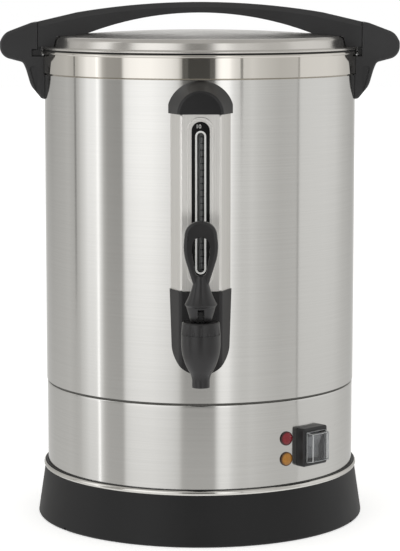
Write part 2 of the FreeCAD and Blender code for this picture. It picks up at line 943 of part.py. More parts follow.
def cutout_nut():
    start = Vector(0, -bezel_back - cutout_nut_height, cutout_height)
    ring = rod(cutout_nut_radius, start, AXIS_Y, cutout_nut_height)
    bore = rod(bush_radius + shaft_gap, start, AXIS_Y, cutout_nut_height)
    return at_azimuth(ring.cut(bore), cutout_azimuth)


def reset_button():
    outer = bezel_back + bush_reach + button_travel + button_proud
    back = housing_inner - 1.2
    collar_start = back - 1.2 - seat_gap
    inner = collar_start - button_collar_height - 2.0
    button = rod(button_radius, Vector(0, -outer, cutout_height), AXIS_Y, outer - inner)
    collar = rod(button_collar, Vector(0, -collar_start, cutout_height), AXIS_Y, button_collar_height)
    return at_azimuth(fuse(button, collar), cutout_azimuth)


def rocker_frame_shape():
    """The switch at the front: bezel, body and the well in which the rocker swings."""
    bezel = block(-bezel_half_width, bezel_half_width, -bezel_face, -bezel_back + 2,
                  switch_height - bezel_half_height, switch_height + bezel_half_height)
    bezel = round_edges(bezel, bezel_edge, lambda edge: not flat_in_y(edge, -bezel_back + 2))
    bezel = bezel.cut(upright(bezel_back, 0, rim_top))
    body_end = bezel_back - switch_body_depth
    body = block(-switch_body_half_width, switch_body_half_width, -bezel_back, -body_end,
                 switch_height - switch_body_half_height, switch_height + switch_body_half_height)
    blades = [
        block(-3.2, 3.2, -body_end, -body_end + blade_length, switch_height + rise - 0.4,
              switch_height + rise + 0.4)
        for rise in (-8.0, 0.0, 8.0)
    ]
    frame = fuse(bezel, body, *blades)
    well = block(-well_half_width, well_half_width, -bezel_face - 1, -bezel_face + well_floor,
                 switch_height - well_half_height, switch_height + well_half_height)
    reach = well_half_width + rocker_pin_reach
    bores = rod(rocker_pin + shaft_gap, Vector(-reach, -pivot_distance, switch_height), AXIS_X, 2 * reach)
    return frame.cut(well).cut(bores)


def switch_housing():
    return at_azimuth(rocker_frame_shape(), switch_azimuth)


def switch_rocker():
    half = well_half_width - rocker_gap
    tip = math.sqrt(rocker_swing ** 2 - rocker_crown ** 2)
    tail = math.sqrt(rocker_swing ** 2 - rocker_tail ** 2 / 4)
    outline = [
        (-rocker_dip, 0),
        (-rocker_crown, tip),
        ((-rocker_swing * math.sin(math.radians(12)), rocker_swing * math.cos(math.radians(12))),
         (rocker_tail / 2, tail)),
        (rocker_tail / 2, -tail),
        ((-rocker_swing * math.sin(math.radians(12)), -rocker_swing * math.cos(math.radians(12))),
         (-rocker_crown, -tip)),
    ]
    rocker = slab(outline, in_yz, AXIS_X, -half, half)
    reach = half + rocker_gap + rocker_pin_reach - seat_gap
    rocker = fuse(rocker, rod(rocker_pin, Vector(-reach, 0, 0), AXIS_X, 2 * reach))
    rocker.rotate(ORIGIN, AXIS_X, rocker_tilt)
    rocker.translate(Vector(0, -pivot_distance, switch_height))
    return at_azimuth(rocker, switch_azimuth)


def splash_hood(shrink):
    """The outside of the clear cover, or its inside when shrunk by the wall."""
    base = -bezel_face if shrink == 0 else -bezel_face + 1
    loops = []
    for half_width, half_height, y in (
            (cover_foot_half_width - shrink, cover_foot_half_height - shrink, base),
            (cover_half_width - shrink, cover_half_height - shrink, -bezel_face - cover_height + shrink)):
        corners = [(-half_width, -half_height), (half_width, -half_height),
                   (half_width, half_height), (-half_width, half_height)]
        points = [Vector(a, y, switch_height + b) for a, b in corners]
        loops.append(Part.makePolygon(points + [points[0]]))
    return Part.makeLoft(loops, True, True)


def switch_cover():
    hood = splash_hood(0).cut(splash_hood(cover_wall))
    return at_azimuth(hood, switch_azimuth)


def lamp(height):
    start = bezel_back
    face = start + lens_rim
    outline = [
        (0, face + lens_dome),
        ((lens_radius * 0.6, face + lens_dome * 0.62), (lens_radius, face)),
        (lens_radius, start),
        (lamp_barrel, start),
        (lamp_barrel, start - lamp_depth),
        (0, start - lamp_depth),
    ]
    body = turned(outline)
    body.rotate(ORIGIN, AXIS_X, 90)
    body.translate(Vector(0, 0, height))
    return at_azimuth(body, lamp_azimuth)


def lamp_nuts():
    nuts = []
    outer = math.sqrt(housing_inner ** 2 - lamp_nut_radius ** 2) - 0.05
    for height in lamp_heights:
        start = Vector(0, -outer, height)
        nut = rod(lamp_nut_radius, start, AXIS_Y, lamp_nut_height)
        nut = nut.cut(rod(lamp_barrel + shaft_gap, start, AXIS_Y, lamp_nut_height))
        nuts.append(at_azimuth(nut, lamp_azimuth))
    return gather(nuts)


# Side handles

def side_handle_shape():
    """The handle on the right, with its slot open at the back."""
    inside = body_radius - 6
    outline = rounded([
        (inside, stem_tip[1] - 1.5, 0),
        (inside, wing_crest[1] + 0.2, 0),
        wing_crest,
        wing_shoulder,
        (wing_reach, *wing_side),
        (wing_reach, *wing_under),
        wing_root,
        stem_hollow,
        stem_belly,
        stem_tip,
    ])
    half = handle_width / 2
    handle = slab(outline, in_xz, AXIS_Y, -half, half)
    handle = round_edges(handle, handle_edge, lambda edge: flat_in_y(edge, -half) or flat_in_y(edge, half))
    for side in (-1, 1):
        handle = handle.cut(stem_panel(side * half, side * (half - panel_depth)))
    low = upright(body_radius + seat_gap, 0, band_bottom - groove_height)
    middle = upright(band_radius + seat_gap, band_bottom - groove_height, slot_floor)
    high = upright(side_radius, slot_floor, arch_top)
    half_slot = math.degrees((hook_span / 2 + parting_gap) / parting_radius)
    slot = turned_part([
        (parting_radius, slot_floor),
        (parting_radius + hook_reach + parting_gap, slot_floor),
        (parting_radius + hook_reach + parting_gap, slot_roof),
        (parting_radius, slot_roof),
    ], -half_slot, 2 * half_slot + lid_turn_degrees)
    handle = handle.cut(low).cut(middle).cut(high).cut(slot)
    for height in handle_screw_heights:
        start = Vector(band_inner - handle_screw_head_height, 0, height)
        handle = handle.cut(rod(handle_screw_radius + shaft_gap, start, AXIS_X,
                                handle_screw_length + handle_screw_head_height))
    return handle


def stem_panel(near, far):
    """The sunk panel in the flat side of the handle's stem."""
    inner = side_radius - 0.8
    outline = rounded([
        (inner, stem_tip[1] + 2 * panel_margin, 0),
        (inner, stem_hollow[1] + panel_margin, 3.0),
        (stem_hollow[0] - panel_margin, stem_hollow[1] + panel_margin, 2.0),
        (stem_belly[0] - panel_margin, stem_belly[1] + 1.0, 12.0),
        (inner + 1.0, stem_tip[1] + 2 * panel_margin, 0),
    ])
    start, end = sorted((near, far))
    margin = 1.0
    if near < 0:
        return slab(outline, in_xz, AXIS_Y, start - margin, end)
    return slab(outline, in_xz, AXIS_Y, start, end + margin)


def side_handle_right():
    return side_handle_shape()


def side_handle_left():
    handle = side_handle_shape()
    handle.rotate(ORIGIN, AXIS_Z, 180)
    return handle


def side_handle_screws():
    head_end = tank_inner - washer_thickness - seat_gap
    screws = []
    for height in handle_screw_heights:
        head_start = head_end - handle_screw_head_height
        head = rod(handle_screw_head, Vector(head_start, 0, height), AXIS_X, handle_screw_head_height)
        socket = rod(handle_screw_head * 0.4, Vector(head_start, 0, height), AXIS_X,
                     handle_screw_head_height * 0.6)
        shank = rod(handle_screw_radius, Vector(head_end, 0, height), AXIS_X, handle_screw_length)
        screw = fuse(head, shank).cut(socket)
        screws += [screw, mirrored(screw)]
    return gather(screws)


def side_handle_washers():
    start = tank_inner - washer_thickness - seat_gap
    washers = []
    for height in handle_screw_heights:
        washer = rod(washer_radius, Vector(start, 0, height), AXIS_X, washer_thickness)
        washer = washer.common(upright(tank_inner - 0.05, 0, rim_top))
        washer = washer.cut(rod(handle_screw_radius + shaft_gap, Vector(start - 1, 0, height), AXIS_X, 5))
        washers += [washer, mirrored(washer)]
    return gather(washers)


# Lid

def lid_height(radius):
    """Height of the lid's domed top at a distance from the axis."""
    return lid_top + lid_rise - dome_radius + math.sqrt(dome_radius ** 2 - radius ** 2)


def lid_shell():
    edge_middle = (flange_top + lid_edge_bottom) / 2
    edge_radius = band_radius + lid_bead - 0.2
    half = dome_edge / 2
    low = lid_top - lid_corner
    side = lid_shoulder + lid_slope * lid_corner / (lid_top - flange_top)
    diagonal = math.cos(math.radians(45))
    outer = lid_corner * diagonal
    inner = (lid_corner - lid_wall) * diagonal
    outline = [
        (0, lid_height(0)),
        ((half, lid_height(half)), (dome_edge, lid_top)),
        ((dome_edge + outer, low + outer), (side, low)),
        (lid_raised_radius, flange_top + lid_foot),
        (lid_raised_radius + lid_foot, flange_top),
        (edge_radius - lid_bead, flange_top),
        ((edge_radius, edge_middle), (edge_radius - lid_bead, lid_edge_bottom)),
        (edge_radius - lid_bead - lid_wall, lid_edge_bottom),
        (edge_radius - lid_bead - lid_wall, flange_top - lid_wall),
        (lid_raised_radius - lid_wall, flange_top - lid_wall),
        (side - lid_wall, low),
        ((dome_edge + inner, low + inner), (dome_edge, lid_top - lid_wall)),
        ((half, lid_height(half) - lid_wall), (0, lid_height(0) - lid_wall)),
    ]
    shell = turned(outline)
    holes = []
    for x in (-lid_screw_x, lid_screw_x):
        for y in (-lid_screw_y, lid_screw_y):
            holes.append(upright(lid_screw_radius + screw_gap, lid_top - 5, lid_top + 5, x, y))
    return shell.cut(gather(holes))


def lid_gasket():
    bottom = rim_top + seat_gap
    top = bottom + gasket_thickness
    lip_outer = band_inner - wall_gap
    return turned([
        (gasket_inner_radius, top),
        (band_radius + 0.2, top),
        (band_radius + 0.2, bottom),
        (lip_outer, bottom),
        (lip_outer, bottom - gasket_lip_depth + 1.0),
        (lip_outer - 1.0, bottom - gasket_lip_depth),
        (lip_outer - gasket_lip_width, bottom - gasket_lip_depth),
        (lip_outer - gasket_lip_width, bottom),
        (gasket_inner_radius, bottom),
    ])


def lid_room_taken():
    """What the lid's raised part takes up, with the gap round it."""
    foot = lid_raised_radius + lid_foot + wall_gap
    edge = lid_shoulder + wall_gap
    half = edge / 2
    return turned([
        (0, rim_top),
        (foot, rim_top),
        (foot, flange_top + lid_foot),
        (edge, lid_height(edge) + seat_gap),
        ((half, lid_height(half) + seat_gap), (0, lid_height(0) + seat_gap)),
    ])


def lid_handle():
    end = parting_radius + 4
    slope = (parting_top - arch_shoulder_z) / (side_radius - arch_shoulder_x)
    end_top = arch_shoulder_z + slope * (end - arch_shoulder_x)
    rest = flange_top + seat_gap
    outline = [
        (-end, end_top),
        (-arch_shoulder_x, arch_shoulder_z),
        ((0, arch_top), (arch_shoulder_x, arch_shoulder_z)),
        (end, end_top),
        (end, rest),
        (arch_foot_x, rest),
        (arch_foot_x, lid_top),
        ((0, arch_under), (-arch_foot_x, lid_top)),
        (-arch_foot_x, rest),
        (-end, rest),
    ]
    half = handle_width / 2
    waist = handle_waist / 2
    plan = [
        (-end, -half), ((0, -waist), (end, -half)),
        (end, half), ((0, waist), (-end, half)),
    ]
    arch = slab(outline, in_xz, AXIS_Y, -half - 1, half + 1)
    arch = arch.common(slab(plan, in_xy, AXIS_Z, flange_top - 1, arch_top + 1))
    arch = bevel_top(arch)
    arch = arch.common(upright(parting_radius, flange_top - 1, arch_top + 1)).cut(lid_room_taken())
    angle = math.degrees(hook_span / 2 / parting_radius)
    hook_outline = [
        (parting_radius - hook_thickness, hook_bottom),
        (parting_radius + hook_reach, hook_bottom),
        (parting_radius + hook_reach, hook_bottom + hook_height),
        (parting_radius, hook_bottom + hook_height),
        (parting_radius, flange_top + 3),
        (parting_radius - hook_thickness, flange_top + 3),
    ]
    hook_right = turned_part(hook_outline, -angle, 2 * angle)
    hook_left = turned_part(hook_outline, 180 - angle, 2 * angle)
    handle = fuse(arch, hook_right, hook_left)
    holes = []
    for x in (-lid_screw_x, lid_screw_x):
        for y in (-lid_screw_y, lid_screw_y):
            holes.append(upright(lid_screw_radius + shaft_gap, lid_top, lid_top + lid_screw_length, x, y))
    return handle.cut(gather(holes))


def bevel_top(arch):
    """Bevels the long upper edges of the arch."""
    def upper(edge):
        box = edge.BoundBox
        return box.XLength > 20 and box.ZMin > parting_top - 3 and abs(box.YMin + box.YMax) > 10 \
            and box.ZMax > arch_under + 0.1
    edges = [edge for edge in arch.Edges if upper(edge)]
    return arch.makeChamfer(arch_bevel, edges)


def lid_handle_screws():
    head_top = lid_height(math.hypot(lid_screw_x, lid_screw_y) + lid_screw_head) - lid_wall
    screws = []
    for x in (-lid_screw_x, lid_screw_x):
        for y in (-lid_screw_y, lid_screw_y):
            head = upright(lid_screw_head, head_top - lid_screw_head_height, head_top, x, y)
            socket = upright(lid_screw_head * 0.45, head_top - lid_screw_head_height,
                             head_top - 0.4 * lid_screw_head_height, x, y)
            shank = upright(lid_screw_radius, head_top, head_top + lid_screw_length, x, y)
            screws.append(fuse(head, shank).cut(socket))
    return gather(screws)


# Sight gauge

def channel_outline(grow, foot_y):
    """The plan of the gauge channel, grown outwards, from its foot on the tank to its flat face."""
    run = channel_half_foot - channel_half_face
    rise = gauge_face - body_radius
    length = math.hypot(run, rise)
    face = -(gauge_face + grow)
    side_shift = grow * length / rise
    at_face = channel_half_face + side_shift - run / rise * grow
    at_foot = channel_half_foot + side_shift + run / rise * (foot_y + body_radius)
    return [(-at_foot, foot_y), (-at_face, face), (at_face, face), (at_foot, foot_y)]


def channel_solid(grow, bottom, top):
    """The channel's plan pushed upwards, with its two front bends rounded."""
    solid = slab(channel_outline(grow, -body_radius + 12), in_xy, AXIS_Z, bottom, top)
    front = -(gauge_face + grow)
    bend = channel_bend + grow
    return round_edges(solid, bend, lambda edge: vertical(edge) and abs(edge.BoundBox.YMin - front) < 1e-3)


def tank_space(bottom, top, gap=seat_gap):
    return upright(body_radius + gap, bottom - 1, top + 1)


def gauge_channel():
    channel = channel_solid(0.0, channel_bottom, channel_top)
    ridge = slot_plate(border_width, slot_bottom - (border_width - slot_width) / 2,
                       slot_top + (border_width - slot_width) / 2,
                       gauge_face - channel_wall, gauge_face + border_height)
    inner_width = border_width - 2 * border_ridge
    ridge = ridge.cut(slot_plate(inner_width, slot_bottom - (inner_width - slot_width) / 2,
                                 slot_top + (inner_width - slot_width) / 2,
                                 gauge_face - 5, gauge_face + 5))
    channel = fuse(channel, ridge)
    hollow = channel_solid(-channel_wall, channel_bottom - 1, channel_top + 1)
    slot = slot_plate(slot_width, slot_bottom, slot_top, gauge_face - 5, gauge_face + 5)
    return channel.cut(hollow).cut(slot).cut(tank_space(channel_bottom, channel_top))


def gauge_insert():
    back = insert_back
    width = slot_width - 2 * insert_gap
    plate = slot_plate(width, slot_bottom + insert_gap, slot_top - insert_gap,
                       back, gauge_face + insert_proud)
    lip_width = slot_width + 3.0
    lip = slot_plate(lip_width, slot_bottom - 1.5, slot_top + 1.5, back,
                     gauge_face - channel_wall - seat_gap)
    window = slot_plate(window_width, window_bottom, window_top, back - 1, gauge_face + 5)
    return fuse(plate, lip).cut(window)


def gauge_outline():
    face = gauge_face + insert_proud
    outer = slot_plate(window_width + 2 * outline_width, window_bottom - outline_width,
                       window_top + outline_width, face, face + outline_height)
    inner = slot_plate(window_width + 0.2, window_bottom - 0.1, window_top + 0.1, face - 1, face + 2)
    return outer.cut(inner)


def sight_tube():
    return pipe(tube_radius, tube_radius - tube_wall, tube_bottom, tube_top, 0, -tube_distance)


def tube_seals():
    inner = tube_radius + shaft_gap
    outer = tube_radius + seal_wall
    low = pipe(outer, inner, tube_bottom, tube_bottom + seal_height, 0, -tube_distance)
    high = pipe(outer, inner, tube_top - seal_height, tube_top, 0, -tube_distance)
    return gather([low, high])


def cap_cone(shrink):
    """The blunt cone of the cap's outside, or of its inside when shrunk by the wall."""
    flare = (cap_radius - cap_front_radius) / (cap_face - body_radius)
    face = -(cap_face - shrink)
    length = cap_face - shrink - body_radius + cap_overlap
    front_radius = cap_front_radius + flare * shrink - shrink
    cone = Part.makeCone(front_radius, front_radius + flare * length, length,
                         Vector(0, face, cap_bottom), AXIS_Y)
    if shrink >= cap_edge:
        return cone
    return round_edges(cone, cap_edge - shrink, lambda edge: flat_in_y(edge, face))


def gauge_cap():
    outside = cap_cone(0).common(block(-cap_radius, cap_radius, -cap_face, cap_overlap - body_radius - 1,
                                       cap_bottom, cap_bottom + cap_radius))
    boss_outer = tube_radius + seal_wall + 1.0
    boss = upright(boss_outer, tube_top - seal_height, cap_bottom + cap_radius, 0, -tube_distance)
    bore = upright(tube_radius + seal_wall + shaft_gap, tube_top - seal_height - 1, tube_top + seat_gap,
                   0, -tube_distance)
    room = channel_solid(seat_gap, cap_bottom - 1, channel_top + seat_gap)
    cap = fuse(outside.cut(cap_cone(cap_wall)), boss.common(outside)).cut(bore).cut(room)
    return cap.cut(tank_space(cap_bottom, band_bottom))


# Tap shield and gauge shank

def shield_block(grow, shrink):
    """The shield's outside, or its inside when shrunk by the wall."""
    middle = shield_bottom + shield_bottom_radius
    low = shield_bottom_radius - shrink
    high = shield_half_top - shrink
    top = shield_top if shrink == 0 else shield_top + 1
    front = [(-low, middle), ((0, middle - low), (low, middle)), (high, top), (-high, top)]
    shape = slab(front, in_xz, AXIS_Y, -gauge_face - 10, -body_radius + 12)
    return channel_solid(grow, shield_bottom - 1, top).common(shape)


def tap_shield():
    shield = shield_block(seat_gap + shield_wall, 0).cut(shield_block(seat_gap, shield_wall))
    shield = shield.cut(channel_solid(seat_gap, channel_bottom - seat_gap, shield_top + 1))
    hole = rod(shank_radius + wall_gap, Vector(0, -gauge_face - 10, shank_height), AXIS_Y, 30)
    return shield.cut(hole).cut(tank_space(shield_bottom, shield_top))


def gauge_shank():
    """The hollow shank of the tap, with the cup that feeds the sight tube."""
    outer_end = tap_distance - chamber_radius - 3.4
    hub_near = body_radius + shank_washer + seat_gap
    hub_far = gauge_face - channel_wall
    inner_end = tank_inner - shank_inside
    shank = rod(shank_radius, Vector(0, -outer_end, shank_height), AXIS_Y, outer_end - inner_end)
    hub = rod(shank_hub_radius, Vector(0, -hub_far, shank_height), AXIS_Y, hub_far - hub_near)
    cup_outer = tube_radius + seal_wall + shaft_gap + cup_wall
    cup_floor = tube_bottom - seat_gap
    cup_top = cup_floor + cup_depth
    cup = upright(cup_outer, shank_height, cup_top, 0, -tube_distance)
    bore = rod(shank_bore, Vector(0, -outer_end - 1, shank_height), AXIS_Y, outer_end - inner_end + 2)
    rise = upright(tube_radius - tube_wall, shank_height, cup_top + 1, 0, -tube_distance)
    room = upright(tube_radius + seal_wall + shaft_gap, cup_floor, cup_top + 1, 0, -tube_distance)
    return fuse(shank, hub, cup).cut(fuse(bore, rise, room))


def shank_washers():
    """Silicone washers on both sides of the tank wall, hollowed to its curve."""
    washers = []
    inside = rod(shank_washer_radius, Vector(0, -tank_inner, shank_height), AXIS_Y, 3 * shank_washer)
    flat = math.sqrt(tank_inner ** 2 - shank_washer_radius ** 2) - shank_washer
    reach = 2 * shank_washer_radius
    inside = inside.cut(block(-reach, reach, -flat, 0, 0, rim_top))
    washers.append(inside.common(upright(tank_inner - 0.05, 0, rim_top)))
    outside = rod(shank_hub_radius, Vector(0, -body_radius - shank_washer, shank_height), AXIS_Y,
                  2 * shank_washer)
    washers.append(outside.cut(upright(body_radius + 0.05, 0, rim_top)))
    hole = rod(shank_radius + shaft_gap, Vector(0, -body_radius - 5, shank_height), AXIS_Y, 20)
    return gather([washer.cut(hole) for washer in washers])


def shank_nut():
    start = math.sqrt(tank_inner ** 2 - shank_washer_radius ** 2) - shank_washer - seat_gap
    corners = [on_circle(shank_nut_radius, 30 + 60 * index) for index in range(6)]
    nut = slab(corners, in_xz, AXIS_Y, 0, shank_nut_height)
    nut.translate(Vector(0, -start, shank_height))
    return nut.cut(rod(shank_radius + shaft_gap, Vector(0, -start - 1, shank_height), AXIS_Y, 20))


# Tap

def tap_body():
    centre = Vector(0, -tap_distance, 0)
    outline = [
        (0, outlet_bottom),
        (outlet_radius, outlet_bottom),
        (outlet_radius, outlet_top),
        (barrel_throat, barrel_neck),
        (barrel_cheek, barrel_shoulder),
        (barrel_shoulder[0], barrel_top),
        (0, barrel_top),
    ]
    barrel = turned(outline, centre)
    flange_y = gauge_face + seat_gap + shield_wall + seat_gap
    inlet = rod(inlet_radius, Vector(0, -tap_distance, shank_height), AXIS_Y, tap_distance - flange_y)
    flange = rod(tap_flange_radius, Vector(0, -flange_y - tap_flange, shank_height), AXIS_Y, tap_flange)
    body = fuse(barrel, inlet, flange)
    chamber = turned([
        (0, outlet_bottom - 1),
        (outlet_bore, outlet_bottom - 1),
        (outlet_bore, seat_height),
        (chamber_radius, chamber_bottom),
        (chamber_radius, barrel_top + 1),
        (0, barrel_top + 1),
    ], centre)
    socket = rod(shank_radius + shaft_gap, Vector(0, -tap_distance + chamber_radius + 3, shank_height),
                 AXIS_Y, tap_distance)
    way_in = rod(shank_bore, Vector(0, -tap_distance, shank_height), AXIS_Y, chamber_radius + 5)
    return body.cut(fuse(chamber, way_in)).cut(socket)


def tap_bonnet():
    centre = Vector(0, -tap_distance, 0)
    bottom = barrel_top + seat_gap
    plug_bottom = barrel_top - bonnet_plug
    cap = turned([
        (stem_radius + shaft_gap, bonnet_top - bonnet_roof),
        (stem_radius + shaft_gap, bonnet_top),
        (bonnet_top_radius - 0.8, bonnet_top),
        (bonnet_top_radius, bonnet_top - 0.8),
        (bonnet_radius, bottom),
        (chamber_radius - shaft_gap, bottom),
        (chamber_radius - shaft_gap, plug_bottom),
        (spring_room, plug_bottom),
        (spring_room, bonnet_top - bonnet_roof),
    ], centre)
    flutes = []
    for index in range(bonnet_flutes):
        x, y = on_circle(bonnet_radius + 0.5 * flute_radius, 360 / bonnet_flutes * index)
        flutes.append(upright(flute_radius, bottom - 1, bonnet_top + 1, x, y - tap_distance))
    return cap.cut(gather(flutes))


def tap_stem():
    y = -tap_distance
    shaft = upright(stem_radius, stem_bottom, pin_height, 0, y)
    eye = block(-stem_eye_half_width, stem_eye_half_width, y - stem_eye_half_depth,
                y + stem_eye_half_depth, bonnet_top + stem_eye_foot, pin_height + stem_eye_head)
    collar = upright(collar_radius, collar_height, collar_height + collar_thickness, 0, y)
    hole = rod(pin_radius + 0.01, Vector(-2 * pin_half_length, y, pin_height), AXIS_X, 4 * pin_half_length)
    return fuse(shaft, eye, collar).cut(hole)


def seat_cup():
    bottom = seat_height + wall_gap
    cone = cup_radius - cup_foot_radius
    rise = (chamber_bottom - seat_height) / (chamber_radius - outlet_bore) * cone
    cup = turned([
        (0, bottom),
        (cup_foot_radius, bottom + 0.5),
        (cup_radius, bottom + 0.5 + rise),
        (cup_radius, bottom + cup_height - 3),
        (stem_radius + 1.6, bottom + cup_height),
        (0, bottom + cup_height),
    ], Vector(0, -tap_distance, 0))
    return cup.cut(upright(stem_radius + shaft_gap, stem_bottom, bottom + cup_height + 1, 0, -tap_distance))


def lever_pin():
    return rod(pin_radius, Vector(-pin_half_length, -tap_distance, pin_height), AXIS_X, 2 * pin_half_length)


def biarc(start, start_way, end, end_way):
    """Two arcs that leave one point and reach another along the given directions."""
    chord = end - start
    ways = start_way + end_way
    along = chord.dot(ways)
    spread = 2 * (1 - start_way.dot(end_way))
    reach = (-along + math.sqrt(along ** 2 + spread * chord.dot(chord))) / spread
    first = start + start_way * reach
    last = end - end_way * reach
    joint = (first + last) * 0.5
    edges = []
    for a, corner, b in ((start, first, joint), (joint, last, end)):
        foot = (a + b) * 0.5
        height = (corner - foot).Length
        half = (b - a).Length / 2
        middle = corner + (foot - corner).normalize() * (reach * (reach - half) / height)
        edges.append(Part.Arc(a, middle, b).toShape())
    return edges


def tap_spring():
    """The coil that pushes the stem down, between its collar and the bonnet."""
    bottom = collar_height + collar_thickness + spring_wire / 2 + seat_gap
    top = bonnet_top - bonnet_roof - spring_wire / 2 - seat_gap
    pitch = (top - bottom) / spring_turns
    steps = 4 * spring_turns

    def point(step):
        angle = math.radians(90 * step)
        return Vector(spring_radius * math.cos(angle), spring_radius * math.sin(angle) - tap_distance,
                      bottom + pitch * step / 4)

    def way(step):
        angle = math.radians(90 * step)
        return Vector(-spring_radius * math.sin(angle), spring_radius * math.cos(angle),
                      pitch / (2 * math.pi)).normalize()

    edges = []
    for step in range(steps):
        edges += biarc(point(step), way(step), point(step + 1), way(step + 1))
    path = Part.Wire(edges)
    profile = Part.Wire(Part.makeCircle(spring_wire / 2, point(0), way(0)))
    open_pitch = pitch - stem_lift / spring_turns
    print("tap_spring least gap between turns", round(pitch - spring_wire, 3), "mm")
    print("tap_spring least gap with the tap open", round(open_pitch - spring_wire, 3), "mm")
    return path.makePipeShell([profile], True, False)


def tap_lever():
    centre = Vector(0, -tap_distance, 0)
    hood = turned([
        (0, fork_bottom),
        (fork_foot_radius - 0.6, fork_bottom),
        (fork_foot_radius, fork_bottom + 0.6),
        (fork_radius, hood_bottom),
        (hood_radius - 0.3, hood_edge - 0.6),
        (hood_radius, hood_edge),
        (hood_cheek, lever_neck),
        lever_root,
        (0, lever_root[1]),
    ], centre)
    half = loop_thickness / 2
    neck_half = lever_neck[0]
    left = lambda corner: (-corner[0], *corner[1:])
    loop_outline = rounded([
        (-neck_half, lever_neck[1], 0), (neck_half, lever_neck[1], 0),
        loop_side, loop_crown, left(loop_crown), left(loop_side),
    ])
    loop = slab(loop_outline, in_xz, AXIS_Y, -tap_distance - half, -tap_distance + half)
    loop = round_edges(loop, loop_edge, lambda edge: edge.BoundBox.ZMax > lever_neck[1] + 1
                       and (flat_in_y(edge, -tap_distance - half) or flat_in_y(edge, -tap_distance + half)))
    hole_outline = rounded([
        left(hole_foot), hole_foot, hole_side, hole_crown, left(hole_crown), left(hole_side),
    ])
    reach = 2 * hood_radius
    hole = slab(hole_outline, in_xz, AXIS_Y, -tap_distance - reach, -tap_distance + reach)
    slot_half = stem_eye_half_width + fork_slot_gap
    slot_top = pin_height + math.hypot(stem_eye_half_depth, stem_eye_head) + fork_slot_head
    slot = block(-slot_half, slot_half, -tap_distance - reach, -tap_distance + reach,
                 fork_bottom - 1, slot_top)
    bore = rod(pin_radius + shaft_gap, Vector(-reach, -tap_distance, pin_height), AXIS_X, 2 * reach)
    return fuse(hood, loop).cut(hole).cut(slot).cut(bore)


# Percolator set

def percolator_stem():
    foot = floor_height - well_depth + seat_gap
    shoulder = basket_bottom - seat_gap
    stem = turned([
        (tube_inner, percolator_top),
        (tube_outer, percolator_top),
        (tube_outer, shoulder),
        (basket_seat_radius, shoulder),
        (basket_seat_radius, shoulder - basket_seat_height),
        (tube_outer, shoulder - basket_seat_height - 2),
        (tube_outer, bell_top),
        (bell_radius, foot + bell_rim),
        (bell_radius, foot),
        (bell_radius - bell_wall, foot),
        (bell_radius - bell_wall, foot + bell_rim - 0.3),
        (tube_inner, bell_top - 1.0),
    ])
    reach = bell_radius + 2
    notch = block(-bell_notch_width / 2, bell_notch_width / 2, -reach, 0, foot - 1, foot + 0.7 * bell_rim)
    return stem.cut(gather([at_azimuth(notch, 360 / bell_notches * k) for k in range(bell_notches)]))


def sieve_holes(bottom, top):
    holes = []
    for ring in range(hole_ring_count):
        radius = hole_ring_start + hole_ring_step * ring
        count = first_ring_count + added_count * ring
        for index in range(count):
            x, y = on_circle(radius, 360 / count * index)
            holes.append(upright(hole_radius, bottom, top, x, y))
    return gather(holes)


def filter_basket():
    bore = tube_outer + wall_gap
    sleeve = bore + sleeve_wall
    sleeve_top = basket_rim - cover_plate_drop - sleeve_drop
    basket = turned([
        (bore, basket_bottom),
        (basket_radius, basket_bottom),
        (basket_radius, basket_rim),
        (basket_radius - basket_wall, basket_rim),
        (basket_radius - basket_wall, basket_bottom + basket_wall),
        (sleeve, basket_bottom + basket_wall),
        (sleeve, sleeve_top),
        (bore, sleeve_top),
    ])
    return basket.cut(sieve_holes(basket_bottom - 1, basket_bottom + basket_wall + 1))


def basket_cover():
    bottom = basket_rim + seat_gap
    bore = tube_outer + wall_gap
    plate = basket_radius - basket_wall - 2 * wall_gap
    cover = turned([
        (bore, bottom + basket_wall - cover_plate_drop),
        (plate - basket_wall, bottom + basket_wall - cover_plate_drop),
        (plate - basket_wall, bottom + basket_wall),
        (basket_radius + cover_plate_lip, bottom + basket_wall),
        (basket_radius + cover_plate_lip, bottom),
        (plate, bottom),
        (plate, bottom - cover_plate_drop),
        (bore, bottom - cover_plate_drop),
    ])
    return cover.cut(sieve_holes(bottom - cover_plate_drop - 1, bottom + 2))


